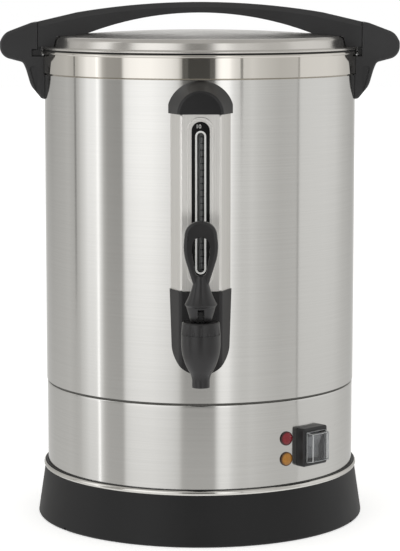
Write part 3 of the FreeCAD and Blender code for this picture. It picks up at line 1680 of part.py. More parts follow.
nodes = {
    "base_skirt": base_skirt,
    "bottom_plate": bottom_plate,
    "rubber_feet": rubber_feet,
    "tie_studs": tie_studs,
    "stud_nuts": stud_nuts,
    "base_trim_ring": base_trim_ring,
    "lower_housing": lower_housing,
    "seam_seal": seam_seal,
    "tank": tank,
    "tank_well": tank_well,
    "heat_spreader": heat_spreader,
    "boiling_element": lambda: element_ring(boil_ring, 250.0),
    "keep_warm_element": lambda: element_ring(warm_ring, 250.0),
    "boil_thermostat": lambda: disc_thermostat(thermostat_azimuths[0]),
    "keep_warm_thermostat": lambda: disc_thermostat(thermostat_azimuths[1]),
    "thermal_cutout": thermal_cutout,
    "cutout_nut": cutout_nut,
    "reset_button": reset_button,
    "terminal_block": terminal_block,
    "wiring": wiring,
    "power_inlet": power_inlet,
    "inlet_pins": inlet_pins,
    "switch_housing": switch_housing,
    "switch_rocker": switch_rocker,
    "switch_cover": switch_cover,
    "red_lamp": lambda: lamp(lamp_heights[0]),
    "amber_lamp": lambda: lamp(lamp_heights[1]),
    "lamp_nuts": lamp_nuts,
    "side_handle_left": side_handle_left,
    "side_handle_right": side_handle_right,
    "side_handle_screws": side_handle_screws,
    "side_handle_washers": side_handle_washers,
    "lid_shell": lid_shell,
    "lid_gasket": lid_gasket,
    "lid_handle": lid_handle,
    "lid_handle_screws": lid_handle_screws,
    "gauge_channel": gauge_channel,
    "gauge_insert": gauge_insert,
    "gauge_outline": gauge_outline,
    "sight_tube": sight_tube,
    "tube_seals": tube_seals,
    "gauge_cap": gauge_cap,
    "tap_shield": tap_shield,
    "gauge_shank": gauge_shank,
    "shank_washers": shank_washers,
    "shank_nut": shank_nut,
    "tap_body": tap_body,
    "tap_bonnet": tap_bonnet,
    "tap_stem": tap_stem,
    "seat_cup": seat_cup,
    "lever_pin": lever_pin,
    "tap_spring": tap_spring,
    "tap_lever": tap_lever,
    "percolator_stem": percolator_stem,
    "filter_basket": filter_basket,
    "basket_cover": basket_cover,
}

os.makedirs("parts", exist_ok=True)
for name, make in nodes.items():
    shape = make()
    if not shape.isValid():
        print("not valid:", name)
    shape.exportStep(os.path.join("parts", name + ".step"))
    box = shape.optimalBoundingBox()
    print(f"{name:22s} solids {len(shape.Solids)}  volume {shape.Volume / 1000:8.2f} cm3  "
          f"x {box.XMin:7.1f} {box.XMax:7.1f}  y {box.YMin:7.1f} {box.YMax:7.1f}  "
          f"z {box.ZMin:6.1f} {box.ZMax:6.1f}")
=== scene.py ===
import json
import math

import bmesh
import bpy
from mathutils import Matrix, Vector


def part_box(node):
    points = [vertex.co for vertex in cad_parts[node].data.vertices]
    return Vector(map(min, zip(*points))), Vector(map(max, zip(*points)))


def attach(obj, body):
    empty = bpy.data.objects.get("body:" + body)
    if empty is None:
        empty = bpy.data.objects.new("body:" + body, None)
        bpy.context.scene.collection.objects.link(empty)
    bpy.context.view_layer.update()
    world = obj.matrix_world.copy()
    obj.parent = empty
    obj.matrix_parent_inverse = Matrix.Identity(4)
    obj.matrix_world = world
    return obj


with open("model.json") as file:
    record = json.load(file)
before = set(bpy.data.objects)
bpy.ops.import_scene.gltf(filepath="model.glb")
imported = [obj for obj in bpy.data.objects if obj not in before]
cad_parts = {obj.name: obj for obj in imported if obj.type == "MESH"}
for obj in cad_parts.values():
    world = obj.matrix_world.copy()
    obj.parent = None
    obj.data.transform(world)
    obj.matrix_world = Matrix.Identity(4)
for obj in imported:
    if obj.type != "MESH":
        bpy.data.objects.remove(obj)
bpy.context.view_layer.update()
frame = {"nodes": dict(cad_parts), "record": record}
nodes = frame["nodes"]
print("frame loaded:", len(nodes), "nodes")


def hexColour(text):
    # an sRGB hex value turned to linear
    values = []
    for start in (0, 2, 4):
        share = int(text.lstrip("#")[start:start + 2], 16) / 255
        values.append(share / 12.92 if share <= 0.04045 else ((share + 0.055) / 1.055) ** 2.4)
    return (*values, 1.0)


def addNode(tree, kind, links=None, **settings):
    node = tree.nodes.new(kind)
    for name, value in settings.items():
        setattr(node, name, value)
    for name, value in (links or {}).items():
        if isinstance(value, bpy.types.NodeSocket):
            tree.links.new(value, node.inputs[name])
        else:
            node.inputs[name].default_value = value
    return node


def newFinish(name):
    finish = bpy.data.materials.new(name)
    finish.use_nodes = True
    finish.node_tree.nodes.clear()
    return finish, finish.node_tree


def showShader(tree, shader):
    addNode(tree, "ShaderNodeOutputMaterial", {"Surface": shader.outputs[0]})


def patternAt(tree, size, detail=2.0, seed=0.0):
    # an uneven pattern whose patches are about size = (x, y, z) millimetres; most of it lies
    # between 0.3 and 0.7, which the finishes spread over their two colours
    place = addNode(tree, "ShaderNodeTexCoord").outputs["Object"]
    mapping = addNode(tree, "ShaderNodeMapping",
                      {"Vector": place, "Location": (seed, seed, seed),
                       "Scale": [1000 / s for s in size]})
    return addNode(tree, "ShaderNodeTexNoise",
                   {"Vector": mapping.outputs[0], "Scale": 1.0, "Detail": detail}).outputs[0]


# Metals

def hairlineStainless(name, look):
    # cold rolled stainless sheet, brushed with a fine belt: the eye gets reflections drawn out across
    # the brushing, and a faint grain along it. Real scratches stand about 0.15 mm apart, and they are
    # drawn wider here so that they show.
    finish, tree = newFinish(name)
    lines = patternAt(tree, look["scratch"], detail=3.0)
    clouds = patternAt(tree, look["cloud"], seed=7.0)
    share = addNode(tree, "ShaderNodeMapRange",
                    {"Value": lines, "From Min": 0.35, "From Max": 0.65}).outputs[0]
    tint = addNode(tree, "ShaderNodeMix",
                   {0: share, 6: hexColour(look["dark"]), 7: hexColour(look["light"])}, data_type="RGBA")
    height = addNode(tree, "ShaderNodeSeparateXYZ",
                     {0: addNode(tree, "ShaderNodeTexCoord").outputs["Object"]}).outputs["Z"]
    # the formed band at the mouth is rolled after brushing, which leaves it smoother and warmer
    onBand = addNode(tree, "ShaderNodeMapRange",
                     {"Value": height, "From Min": look["smoothFrom"],
                      "From Max": look["smoothFrom"] + look["smoothOver"]}).outputs[0]
    tint = addNode(tree, "ShaderNodeMix",
                   {0: onBand, 6: tint.outputs[2], 7: hexColour(look["band"])}, data_type="RGBA")
    brushed = addNode(tree, "ShaderNodeMapRange",
                      {"Value": clouds, "From Min": 0.3, "From Max": 0.7,
                       "To Min": look["roughness"] - look["glossier"],
                       "To Max": look["roughness"] + look["duller"]}).outputs[0]
    smooth = addNode(tree, "ShaderNodeMapRange",
                     {"Value": onBand, "To Min": 1.0, "To Max": look["smoothShare"]}).outputs[0]
    rough = addNode(tree, "ShaderNodeMath", {0: brushed, 1: smooth}, operation="MULTIPLY").outputs[0]
    bump = addNode(tree, "ShaderNodeBump",
                   {"Height": lines, "Strength": look["grain"], "Distance": look["scratchDepth"] / 1000})
    around = addNode(tree, "ShaderNodeTangent", direction_type="RADIAL", axis="Z").outputs[0]
    shader = addNode(tree, "ShaderNodeBsdfPrincipled",
                     {"Base Color": tint.outputs[2], "Metallic": 1.0, "Roughness": rough,
                      "Anisotropic": look["stretch"], "Anisotropic Rotation": look["turn"],
                      "Tangent": around, "Normal": bump.outputs[0]})
    showShader(tree, shader)
    return finish


handlingMarks = {"patch": 3.0, "cleaner": 0.02, "duller": 0.04}


def plainMetal(name, light, dark, roughness, patch=handlingMarks["patch"]):
    # turned, drawn or pressed metal: even reflections, faintly clouded by handling marks
    finish, tree = newFinish(name)
    clouds = patternAt(tree, (patch, patch, patch), detail=3.0)
    share = addNode(tree, "ShaderNodeMapRange",
                    {"Value": clouds, "From Min": 0.3, "From Max": 0.7}).outputs[0]
    tint = addNode(tree, "ShaderNodeMix",
                   {0: share, 6: hexColour(dark), 7: hexColour(light)}, data_type="RGBA")
    rough = addNode(tree, "ShaderNodeMapRange",
                    {"Value": clouds, "From Min": 0.3, "From Max": 0.7,
                     "To Min": roughness - handlingMarks["cleaner"],
                     "To Max": roughness + handlingMarks["duller"]}).outputs[0]
    shader = addNode(tree, "ShaderNodeBsdfPrincipled",
                     {"Base Color": tint.outputs[2], "Metallic": 1.0, "Roughness": rough})
    showShader(tree, shader)
    return finish


# Plastics, rubber and glass

moulded = {
    "grain": 0.9,            # in millimetres; the real one of 0.1 is drawn coarser so that it shows
    "grainDepth": 0.03,
    "grainStrength": 0.4,
    "cloud": 28,
    "spread": 0.03,          # how far the clouds take the roughness down and up
}


def mouldedPlastic(name, light, dark, roughness, ior=1.49):
    # injection moulded: one colour all through, and a spark-eroded grain that breaks the gloss
    finish, tree = newFinish(name)
    grain = patternAt(tree, [moulded["grain"]] * 3)
    clouds = patternAt(tree, [moulded["cloud"]] * 3, seed=3.0)
    share = addNode(tree, "ShaderNodeMapRange",
                    {"Value": clouds, "From Min": 0.3, "From Max": 0.7}).outputs[0]
    tint = addNode(tree, "ShaderNodeMix",
                   {0: share, 6: hexColour(dark), 7: hexColour(light)}, data_type="RGBA")
    rough = addNode(tree, "ShaderNodeMapRange",
                    {"Value": clouds, "From Min": 0.3, "From Max": 0.7,
                     "To Min": roughness - moulded["spread"],
                     "To Max": roughness + moulded["spread"]}).outputs[0]
    bump = addNode(tree, "ShaderNodeBump",
                   {"Height": grain, "Strength": moulded["grainStrength"],
                    "Distance": moulded["grainDepth"] / 1000})
    shader = addNode(tree, "ShaderNodeBsdfPrincipled",
                     {"Base Color": tint.outputs[2], "Roughness": rough, "IOR": ior,
                      "Normal": bump.outputs[0]})
    showShader(tree, shader)
    return finish


clearHaze = {"patch": 6, "duller": 0.03}


def clearMoulding(name, tint, roughness, ior, clear=1.0):
    # clear PVC or polysulfone: seen through, with bright edges and a faint haze; clear is the
    # share of the light that goes through
    finish, tree = newFinish(name)
    haze = addNode(tree, "ShaderNodeMapRange",
                   {"Value": patternAt(tree, [clearHaze["patch"]] * 3), "From Min": 0.3, "From Max": 0.7,
                    "To Min": roughness, "To Max": roughness + clearHaze["duller"]}).outputs[0]
    shader = addNode(tree, "ShaderNodeBsdfPrincipled",
                     {"Base Color": hexColour(tint), "Transmission Weight": clear, "IOR": ior,
                      "Roughness": haze})
    showShader(tree, shader)
    return finish


def lensWithPaintedRimShade(name, look, centre):
    # coloured acrylic lens: its own colour in the middle, with painted shade darkening it where it
    # curves into its rim
    finish, tree = newFinish(name)
    place = addNode(tree, "ShaderNodeTexCoord").outputs["Object"]
    away = addNode(tree, "ShaderNodeVectorMath", {0: place, 1: centre},
                   operation="DISTANCE").outputs["Value"]
    # share of painted rim shade, which grows from the lens's middle to its edge
    rim = addNode(tree, "ShaderNodeMapRange",
                  {"Value": away, "From Min": look["middle"] / 1000, "From Max": look["edge"] / 1000,
                   "To Min": 0.0, "To Max": 1.0}, interpolation_type="SMOOTHSTEP").outputs[0]
    facets = addNode(tree, "ShaderNodeTexVoronoi", {"Vector": place, "Scale": 1000 / look["facet"]})
    share = addNode(tree, "ShaderNodeMath",
                    {0: facets.outputs["Distance"], 1: look["mottle"], 2: 1 - look["mottle"]},
                    operation="MULTIPLY_ADD").outputs[0]
    body = addNode(tree, "ShaderNodeMix",
                   {0: share, 6: hexColour(look["dark"]), 7: hexColour(look["light"])}, data_type="RGBA")
    tint = addNode(tree, "ShaderNodeMix",
                   {0: rim, 6: body.outputs[2], 7: hexColour(look["rim"])}, data_type="RGBA")
    bump = addNode(tree, "ShaderNodeBump",
                   {"Height": facets.outputs["Distance"], "Strength": look["facetStrength"],
                    "Distance": look["facetDepth"] / 1000})
    shader = addNode(tree, "ShaderNodeBsdfPrincipled",
                     {"Base Color": tint.outputs[2], "Roughness": look["roughness"], "IOR": look["ior"],
                      "Normal": bump.outputs[0]})
    showShader(tree, shader)
    return finish


def lensMiddle(name):
    # the middle of a lamp's face, which looks straight out from the urn's axis
    low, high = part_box(name)
    middle = (Vector(low) + Vector(high)) / 2
    outward = Vector((middle.x, middle.y, 0)).normalized()
    node = nodes[name]
    reach = max(outward.dot(node.matrix_world @ vertex.co) for vertex in node.data.vertices)
    return outward * reach + Vector((0, 0, middle.z))


tankLook = {
    "light": "#D4D3D0",
    "dark": "#D1D0CD",
    "roughness": 0.115,
    "glossier": 0.015,       # how far the clouds take the roughness down and up
    "duller": 0.02,
    "stretch": 0.75,         # how far reflections are drawn out, and in which direction
    "turn": 0.25,
    "scratch": (90, 90, 0.9),         # length and width of its patches in millimetres, and depth
    "scratchDepth": 0.02,
    "grain": 0.014,
    "cloud": (45, 45, 90),
    "smoothFrom": 0.3578,    # height of the formed band in metres
    "smoothOver": 0.0008,
    "smoothShare": 0.6,      # of the roughness below it
    "band": "#D8D4CD",
}
# the channel is brushed upright, and all of it lies under the height from which it would be smooth
channelLook = dict(tankLook, light="#ECEAE6", dark="#E5E3DF", roughness=0.33, stretch=0.8, turn=0.0,
                   scratch=(0.9, 0.9, 90), grain=0.02, smoothFrom=9.0)
lampLook = {
    "middle": 3.6,           # millimetres from the middle where the painted rim shade sets in, and is full
    "edge": 5.6,
    "facet": 1.6,
    "facetDepth": 0.2,
    "facetStrength": 0.35,
    "mottle": 0.5,           # how far the facets darken the lens
    "roughness": 0.16,
    "ior": 1.49,
}
# rim is the colour of the painted shade round each lens's edge, not a colour of the lens itself
redLook = dict(lampLook, light="#96242F", dark="#741A23", rim="#2C0B0D")
amberLook = dict(lampLook, light="#C98A35", dark="#A36C20", rim="#3A2206")

finishes = {
    "brushed_steel": hairlineStainless("hairlineStainless", tankLook),
    "gauge_steel": hairlineStainless("hairlineChannelStainless", channelLook),
    "satin_steel": plainMetal("satinStainless", "#CFCDC8", "#C6C4BE", 0.3),
    "polished_steel": plainMetal("polishedStainless", "#D8D6D1", "#D2D0CB", 0.09),
    "small_steel": plainMetal("zincPlatedSteel", "#C9C7C3", "#B4B2AE", 0.28),
    "aluminium_plate": plainMetal("milledAluminium", "#D9D9DA", "#C9C9CB", 0.32),
    "zinc_plate": plainMetal("galvanisedSheet", "#B9BCBF", "#A2A6AA", 0.42, 14.0),
    "heater_sheath": plainMetal("oxidisedHeaterSheath", "#7D7266", "#5E564D", 0.4),
    "contact_brass": plainMetal("nickelledBrass", "#D9CDAA", "#C9BC96", 0.22),
    "skirt_plastic": mouldedPlastic("mouldedBlackPolypropylene", "#171718", "#131314", 0.5, 1.4),
    "handle_plastic": mouldedPlastic("mouldedBlackPhenolic", "#353536", "#303031", 0.42, 1.45),
    "gauge_plastic": mouldedPlastic("mouldedBlackAbs", "#0C0C0E", "#0A0A0B", 0.2, 1.45),
    "tap_plastic": mouldedPlastic("mouldedBlackNylon", "#262526", "#212021", 0.3, 1.49),
    "switch_plastic": mouldedPlastic("mouldedSwitchNylon", "#222223", "#1C1C1D", 0.4),
    "rocker_plastic": mouldedPlastic("glossRockerNylon", "#8E8E90", "#858587", 0.3),
    "inlet_plastic": mouldedPlastic("mouldedInletNylon", "#202021", "#1B1B1C", 0.45),
    "button_plastic": mouldedPlastic("mouldedRedNylon", "#B8352A", "#A92E25", 0.35),
    "thermostat_plastic": mouldedPlastic("pressedPhenolic", "#4A4440", "#413B37", 0.5),
    "terminal_plastic": mouldedPlastic("naturalNylon", "#DEDCD2", "#D2CFC4", 0.45),
    "wire_insulation": mouldedPlastic("siliconeSleeve", "#B98A5A", "#A97B4D", 0.5),
    "clear_cover": clearMoulding("clearSoftPvc", "#F2F4F5", 0.04, 1.4),
    "red_lens": lensWithPaintedRimShade("redAcrylicLensPaintedRimShade", redLook, lensMiddle("red_lamp")),
    "amber_lens": lensWithPaintedRimShade("amberAcrylicLensPaintedRimShade", amberLook, lensMiddle("amber_lamp")),
    "white_print": mouldedPlastic("whiteScreenPrint", "#F1F1EF", "#E9E9E7", 0.5),
    "sight_glass": clearMoulding("hazyPolysulfoneTube", "#9C9E9E", 0.2, 1.47, 0.5),
    "silicone_rubber": mouldedPlastic("pressedSilicone", "#D7D4CC", "#CBC8C0", 0.5, 1.41),
    "gasket_rubber": mouldedPlastic("blackSiliconeGasket", "#151515", "#111111", 0.6, 1.41),
    "foot_rubber": mouldedPlastic("mouldedFootRubber", "#1E1E1E", "#191919", 0.7),
}
# pieces whose finish differs from that of their slot
ownFinish = {
    "lid_shell": plainMetal("drawnLidStainless", "#D4D1CC", "#CFCCC7", 0.2, 30.0),
    # the grey of the ring in the seam stands in for the shadow line under the tank's lower edge: painted
    # shade
    "seam_seal": mouldedPlastic("paintedSeamShadowSilicone", "#5E5D5A", "#565552", 0.5, 1.41),
    "gauge_cap": mouldedPlastic("mouldedCapAbs", "#1F1F20", "#1B1B1C", 0.34, 1.46),
    "tap_shield": mouldedPlastic("mouldedShieldNylon", "#242324", "#201F20", 0.42, 1.46),
}
slotOf = {part["node"]: part["material_slot"] for part in frame["record"]["subparts"]}
for name, node in nodes.items():
    if not node.material_slots:
        node.data.materials.append(None)
    for materialSlot in node.material_slots:
        materialSlot.material = ownFinish.get(name, finishes[slotOf[name]])
print("finishes given:", len(finishes) + len(ownFinish))


# Rounded edges

edgeRounding = {
    "width": {"gauge_channel": 0.45},        # in millimetres, on the ridge pressed round the slot
    "join": 0.01,            # corners that lie closer than this are made one before
    "segments": 2,
    "sharp": 25,             # degrees from which an edge is rounded
}
for name, width in edgeRounding["width"].items():
    joining = nodes[name].modifiers.new("joinedFaces", "WELD")
    joining.merge_threshold = edgeRounding["join"] / 1000
    rounding = nodes[name].modifiers.new("roundedEdges", "BEVEL")
    rounding.width = width / 1000
    rounding.segments = edgeRounding["segments"]
    rounding.limit_method = "ANGLE"
    rounding.angle_limit = math.radians(edgeRounding["sharp"])
    rounding.harden_normals = True
print("edges rounded:", len(edgeRounding["width"]))


def pieceFromMesh(name, mesh, slot, body="root"):
    piece = bpy.data.objects.new(name, mesh)
    bpy.context.scene.collection.objects.link(piece)
    mesh.materials.append(finishes[slot])
    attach(piece, body)


# Marks on the gauge

gaugeScale = {
    "step": 5.0,             # millimetres from one tick to the next
    "tickHeight": 0.7,
    "start": -4.0,           # azimuth on the tube from which the ticks run to the right, in degrees
    "end": 44.0,
    "longEnd": 62.0,
    "longEvery": 5,
    "gap": 0.01,             # from the glass to the back and to the front of the print
    "thickness": 0.06,
    "parts": 8,              # flat steps along a tick
    "from": 216.0,           # heights between which the ticks stand
    "to": 318.0,
}


def tubeTicks():
    # black print on the front of the sight tube, mostly on its right half
    low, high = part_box("sight_tube")
    centre = (Vector(low) + Vector(high)) / 2
    radius = (high[0] - low[0]) / 2
    back = radius + gaugeScale["gap"] / 1000
    front = radius + gaugeScale["thickness"] / 1000
    tall = gaugeScale["tickHeight"] / 1000
    parts = gaugeScale["parts"]
    builder = bmesh.new()
    count = int((gaugeScale["to"] - gaugeScale["from"]) / gaugeScale["step"]) + 1
    for index in range(count):
        bottom = (gaugeScale["from"] + index * gaugeScale["step"]) / 1000
        start = gaugeScale["start"]
        end = gaugeScale["longEnd" if index % gaugeScale["longEvery"] == 0 else "end"]
        rings = []
        for part in range(parts + 1):
            angle = math.radians(start + (end - start) * part / parts)
            corners = []
            for r, z in ((back, 0), (front, 0), (front, tall), (back, tall)):
                corners.append(builder.verts.new((centre.x + r * math.sin(angle),
                                                  centre.y - r * math.cos(angle), bottom + z)))
            rings.append(corners)
        for first, second in zip(rings, rings[1:]):
            for k in range(4):
                builder.faces.new((first[k], first[(k + 1) % 4], second[(k + 1) % 4], second[k]))
        builder.faces.new(rings[0][::-1])
        builder.faces.new(rings[-1])
    bmesh.ops.recalc_face_normals(builder, faces=builder.faces)
    mesh = bpy.data.meshes.new("tubeTicks")
    builder.to_mesh(mesh)
    builder.free()
    pieceFromMesh("tubeTicks", mesh, "gauge_plastic")
    mesh.materials[0] = mouldedPlastic("blackScreenPrint", "#101011", "#0D0D0E", 0.5)


tubeTicks()

litreMark = {
    "text": "10",
    "height": 2.9,           # of the digits, in millimetres
    "digitShare": 0.7,       # of the letters' size that a digit is tall
    "thickness": 0.12,
    "x": -1.6,
    "z": 322.9,
}


def printedNumber():
    # how many litres the urn holds, printed on the insert over its window
    letters = bpy.data.curves.new("litreNumber", "FONT")
    letters.body = litreMark["text"]
    letters.size = litreMark["height"] / 1000 / litreMark["digitShare"]
    letters.extrude = litreMark["thickness"] / 2000      # to each side
    letters.align_x = "CENTER"
    number = bpy.data.objects.new("litreNumber", letters)
    bpy.context.scene.collection.objects.link(number)
    letters.materials.append(finishes["white_print"])
    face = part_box("gauge_insert")[0][1]
    number.location = (litreMark["x"] / 1000, face - litreMark["thickness"] / 2000,
                       litreMark["z"] / 1000)
    number.rotation_euler = (math.radians(90), 0, 0)
    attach(number, "root")


printedNumber()
print("gauge marks made")


# Upper edge of the housing, under the seam

seamLook = {
    "radius": 124.3,         # of the housing, in millimetres
    "rounding": 1.2,
    "shoulder": 109.9,       # height of its upper edge
    "proud": 0.03,           # how far the ring stands out from the solid that it covers
    "foot": 1.5,             # how far it reaches below the rounding
    "depth": 0.6,
    "around": 360,           # flat steps round the urn, and along the rounding
    "arc": 10,
    "sharp": 30,             # degrees from which an edge isn't smoothed
}


def turnedRing(name, outline, slot):
    # a closed ring round the urn's axis, from an outline of radius and height in millimetres
    builder = bmesh.new()
    rings = []
    for step in range(seamLook["around"]):
        angle = 2 * math.pi * step / seamLook["around"]
        rings.append([builder.verts.new((r / 1000 * math.sin(angle), -r / 1000 * math.cos(angle),
                                         z / 1000)) for r, z in outline])
    for first, second in zip(rings, rings[1:] + rings[:1]):
        for k in range(len(outline)):
            after = (k + 1) % len(outline)
            builder.faces.new((first[k], first[after], second[after], second[k]))
    bmesh.ops.recalc_face_normals(builder, faces=builder.faces)
    mesh = bpy.data.meshes.new(name)
    builder.to_mesh(mesh)
    builder.free()
    mesh.polygons.foreach_set("use_smooth", [True] * len(mesh.polygons))
    mesh.set_sharp_from_angle(angle=math.radians(seamLook["sharp"]))
    pieceFromMesh(name, mesh, slot)


def housingShoulder():
    # the even rounding of the housing's upper edge, which carries a bright line under the seam
    look = seamLook
    middle = (look["radius"] - look["rounding"], look["shoulder"] - look["rounding"])
    outer = [(look["radius"] + look["proud"], middle[1] - look["foot"])]
    for step in range(look["arc"] + 1):
        angle = math.radians(90 * step / look["arc"])
        reach = look["rounding"] + look["proud"]
        outer.append((middle[0] + reach * math.cos(angle), middle[1] + reach * math.sin(angle)))
    inner = [(r - look["depth"], z - look["depth"] / 2) for r, z in (outer[-1], outer[0])]
    turnedRing("housingShoulder", outer + inner, "brushed_steel")


housingShoulder()
print("seam rounded")


# Painted highlights along the edges of the clear switch cover

coverEdge = {
    "thin": 0.26,            # radius of the painted highlight bead along an edge, in millimetres
    "thick": 0.42,
    "azimuth": 43.2,
    "height": 72.2,
    "face": 131.35,          # of the switch's bezel, from the urn's axis
    "lift": 0.3,
    "depth": 5.45,
    "foot": (10.0, 11.8),    # half width and half height
    "front": (8.7, 10.7),
    "sides": 10,
    "cornerSteps": 2,
}


def coverEdgeHighlights():
    # the soft cover is thicker along its edges; these beads are near-white and opaque, so they carry
    # painted highlights where the edges catch the light
    builder = bmesh.new()
    turn = Matrix.Rotation(math.radians(coverEdge["azimuth"]), 4, "Z")
    loops = []
    for (halfWidth, halfHeight), distance in (
            (coverEdge["foot"], coverEdge["face"] + coverEdge["lift"]),
            (coverEdge["front"], coverEdge["face"] + coverEdge["depth"])):
        corners = [Vector((a * halfWidth, -distance, coverEdge["height"] + b * halfHeight))
                   for a, b in ((-1, -1), (1, -1), (1, 1), (-1, 1))]
        loops.append([turn @ corner / 1000 for corner in corners])
    thin, thick = coverEdge["thin"] / 1000, coverEdge["thick"] / 1000
    # the painted highlights are widest on the upright edges of the front
    runs = [(loops[0][k], loops[0][(k + 1) % 4], thin) for k in range(4)]
    runs += [(loops[1][k], loops[1][(k + 1) % 4], thin if k % 2 == 0 else thick) for k in range(4)]
    runs += [(loops[0][k], loops[1][k], thin) for k in range(4)]
    for start, end, radius in runs:
        way = end - start
        middle = (start + end) / 2
        turned = way.to_track_quat("Z", "Y").to_matrix().to_4x4()
        bmesh.ops.create_cone(builder, cap_ends=True, segments=coverEdge["sides"], radius1=radius,
                              radius2=radius, depth=way.length,
                              matrix=Matrix.Translation(middle) @ turned)
    for loop, radius in zip(loops, (thin, thick)):
        for corner in loop:
            bmesh.ops.create_icosphere(builder, subdivisions=coverEdge["cornerSteps"], radius=radius,
                                       matrix=Matrix.Translation(corner))
    mesh = bpy.data.meshes.new("coverEdgeHighlights")
    builder.to_mesh(mesh)
    builder.free()
    for face in mesh.polygons:
        face.use_smooth = True
    pieceFromMesh("coverEdgeHighlights", mesh, "clear_cover")
    # near-white opaque beads: painted highlights on the clear cover's edges
    mesh.materials[0] = mouldedPlastic("paintedHighlightSoftPvc", "#E4E6E7", "#DCDEDF", 0.25, 1.53)


coverEdgeHighlights()
print("switch cover edged")


# Studio

studio = {
    "radius": 3.3,           # metres from the urn's axis to the wall of the light tent
    "low": -1.7,
    "high": 2.9,
    "step": 5,               # degrees from one upright fold of the wall to the next
    "room": 0.8,             # level of the room where the tent leaves a gap
    "roof": 0.55,            # level of the tent's roof
    "fadeTop": 0.08,         # heights between which the wall's stripes fade, in metres
    "fadeFoot": -0.7,
    "fade": 0.6,
    "plain": 0.66,           # what they fade to
    "warmBelow": 1.1,        # level below which the cloths grow warmer
    "lessGreen": 0.015,
    "lessBlue": 0.06,
    # cloths of the tent's wall: azimuth from the front towards +X in degrees, and level
    "leftWall": [
        (-180, 0.78), (-166, 0.72), (-156, 0.5), (-140, 0.48), (-132, 0.53), (-118, 0.6),
        (-112, 0.65), (-104, 0.58), (-99, 0.64), (-97, 0.8), (-93, 0.98), (-88.5, 1.24),
        (-85, 1.26), (-80, 1.36), (-77.5, 1.32), (-76, 1.02), (-73.5, 0.6), (-70, 0.44),
        (-59, 0.4), (-57.6, 0.43), (-56.4, 0.9), (-55, 1.18), (-51, 1.32), (-43, 1.4),
        (-35, 1.4), (-26, 1.26), (-20, 1.12), (-15.6, 0.93), (-13, 0.5), (-10.5, 0.3),
        (0, 0.28),
    ],
    "rightWall": [
        (0, 0.28), (8.5, 0.3), (10, 0.42), (12.2, 1.1), (14, 1.42), (16, 1.52),
        (20.5, 1.46), (22.5, 1.18), (25, 1.0), (29, 0.84), (33.5, 0.82), (37, 0.87),
        (43, 0.77), (51, 0.69), (59, 0.63), (67.5, 0.65), (75, 0.67), (76.4, 0.88),
        (88, 0.9), (103, 0.91), (116, 0.86), (130, 0.67), (146, 0.53), (156, 0.5),
        (166, 0.72), (180, 0.78),
    ],
    "stripInset": 0.05,
    # hung before the wall: azimuth and width in degrees, lower and upper end in metres, level
    "strips": [
        (-102.4, 1.8, -0.25, 1.2, 0.25),
        (-79.0, 2.2, -1.4, 0.8, 1.6),
        (29.4, 2.0, 0.17, 1.2, 0.3),
        (74.9, 1.3, -0.55, 1.2, 0.4),
        (-1.0, 23.0, 0.1, 1.2, 0.14),
        (-1.5, 23.0, -1.3, -0.58, 0.57),
    ],
    # a dark card behind the camera, which the steel mirrors in its middle; half its width, in degrees
    "camera": {"azimuth": -0.8, "width": 7.6, "low": 0.1, "high": 1.2, "inset": 0.1, "level": 0.068},
}


def warmed(level):
    # the darker stretches of wall are a warmer grey than the lit ones
    warmth = max(0.0, studio["warmBelow"] - level)
    green = level * (1 - studio["lessGreen"] * warmth)
    blue = level * (1 - studio["lessBlue"] * warmth)
    return (level, green, blue, 1.0)


def halfLevel(level):
    # a ramp holds no more than 1, so the cloth's shader doubles its colours
    return [*[value / 2 for value in warmed(level)[:3]], 1.0]


def onTent(azimuth, height, radius):
    angle = math.radians(azimuth)
    return (radius * math.sin(angle), -radius * math.cos(angle), height)


def tentWall(name, low, high, start, end, radius):
    count = max(1, round((end - start) / studio["step"]))
    points = []
    for index in range(count + 1):
        azimuth = start + (end - start) * index / count
        points += [onTent(azimuth, low, radius), onTent(azimuth, high, radius)]
    faces = [(2 * k, 2 * k + 1, 2 * k + 3, 2 * k + 2) for k in range(count)]
    mesh = bpy.data.meshes.new(name)
    mesh.from_pydata(points, [], faces)
    wall = bpy.data.objects.new(name, mesh)
    bpy.context.scene.collection.objects.link(wall)
    wall.visible_camera = False
    return wall


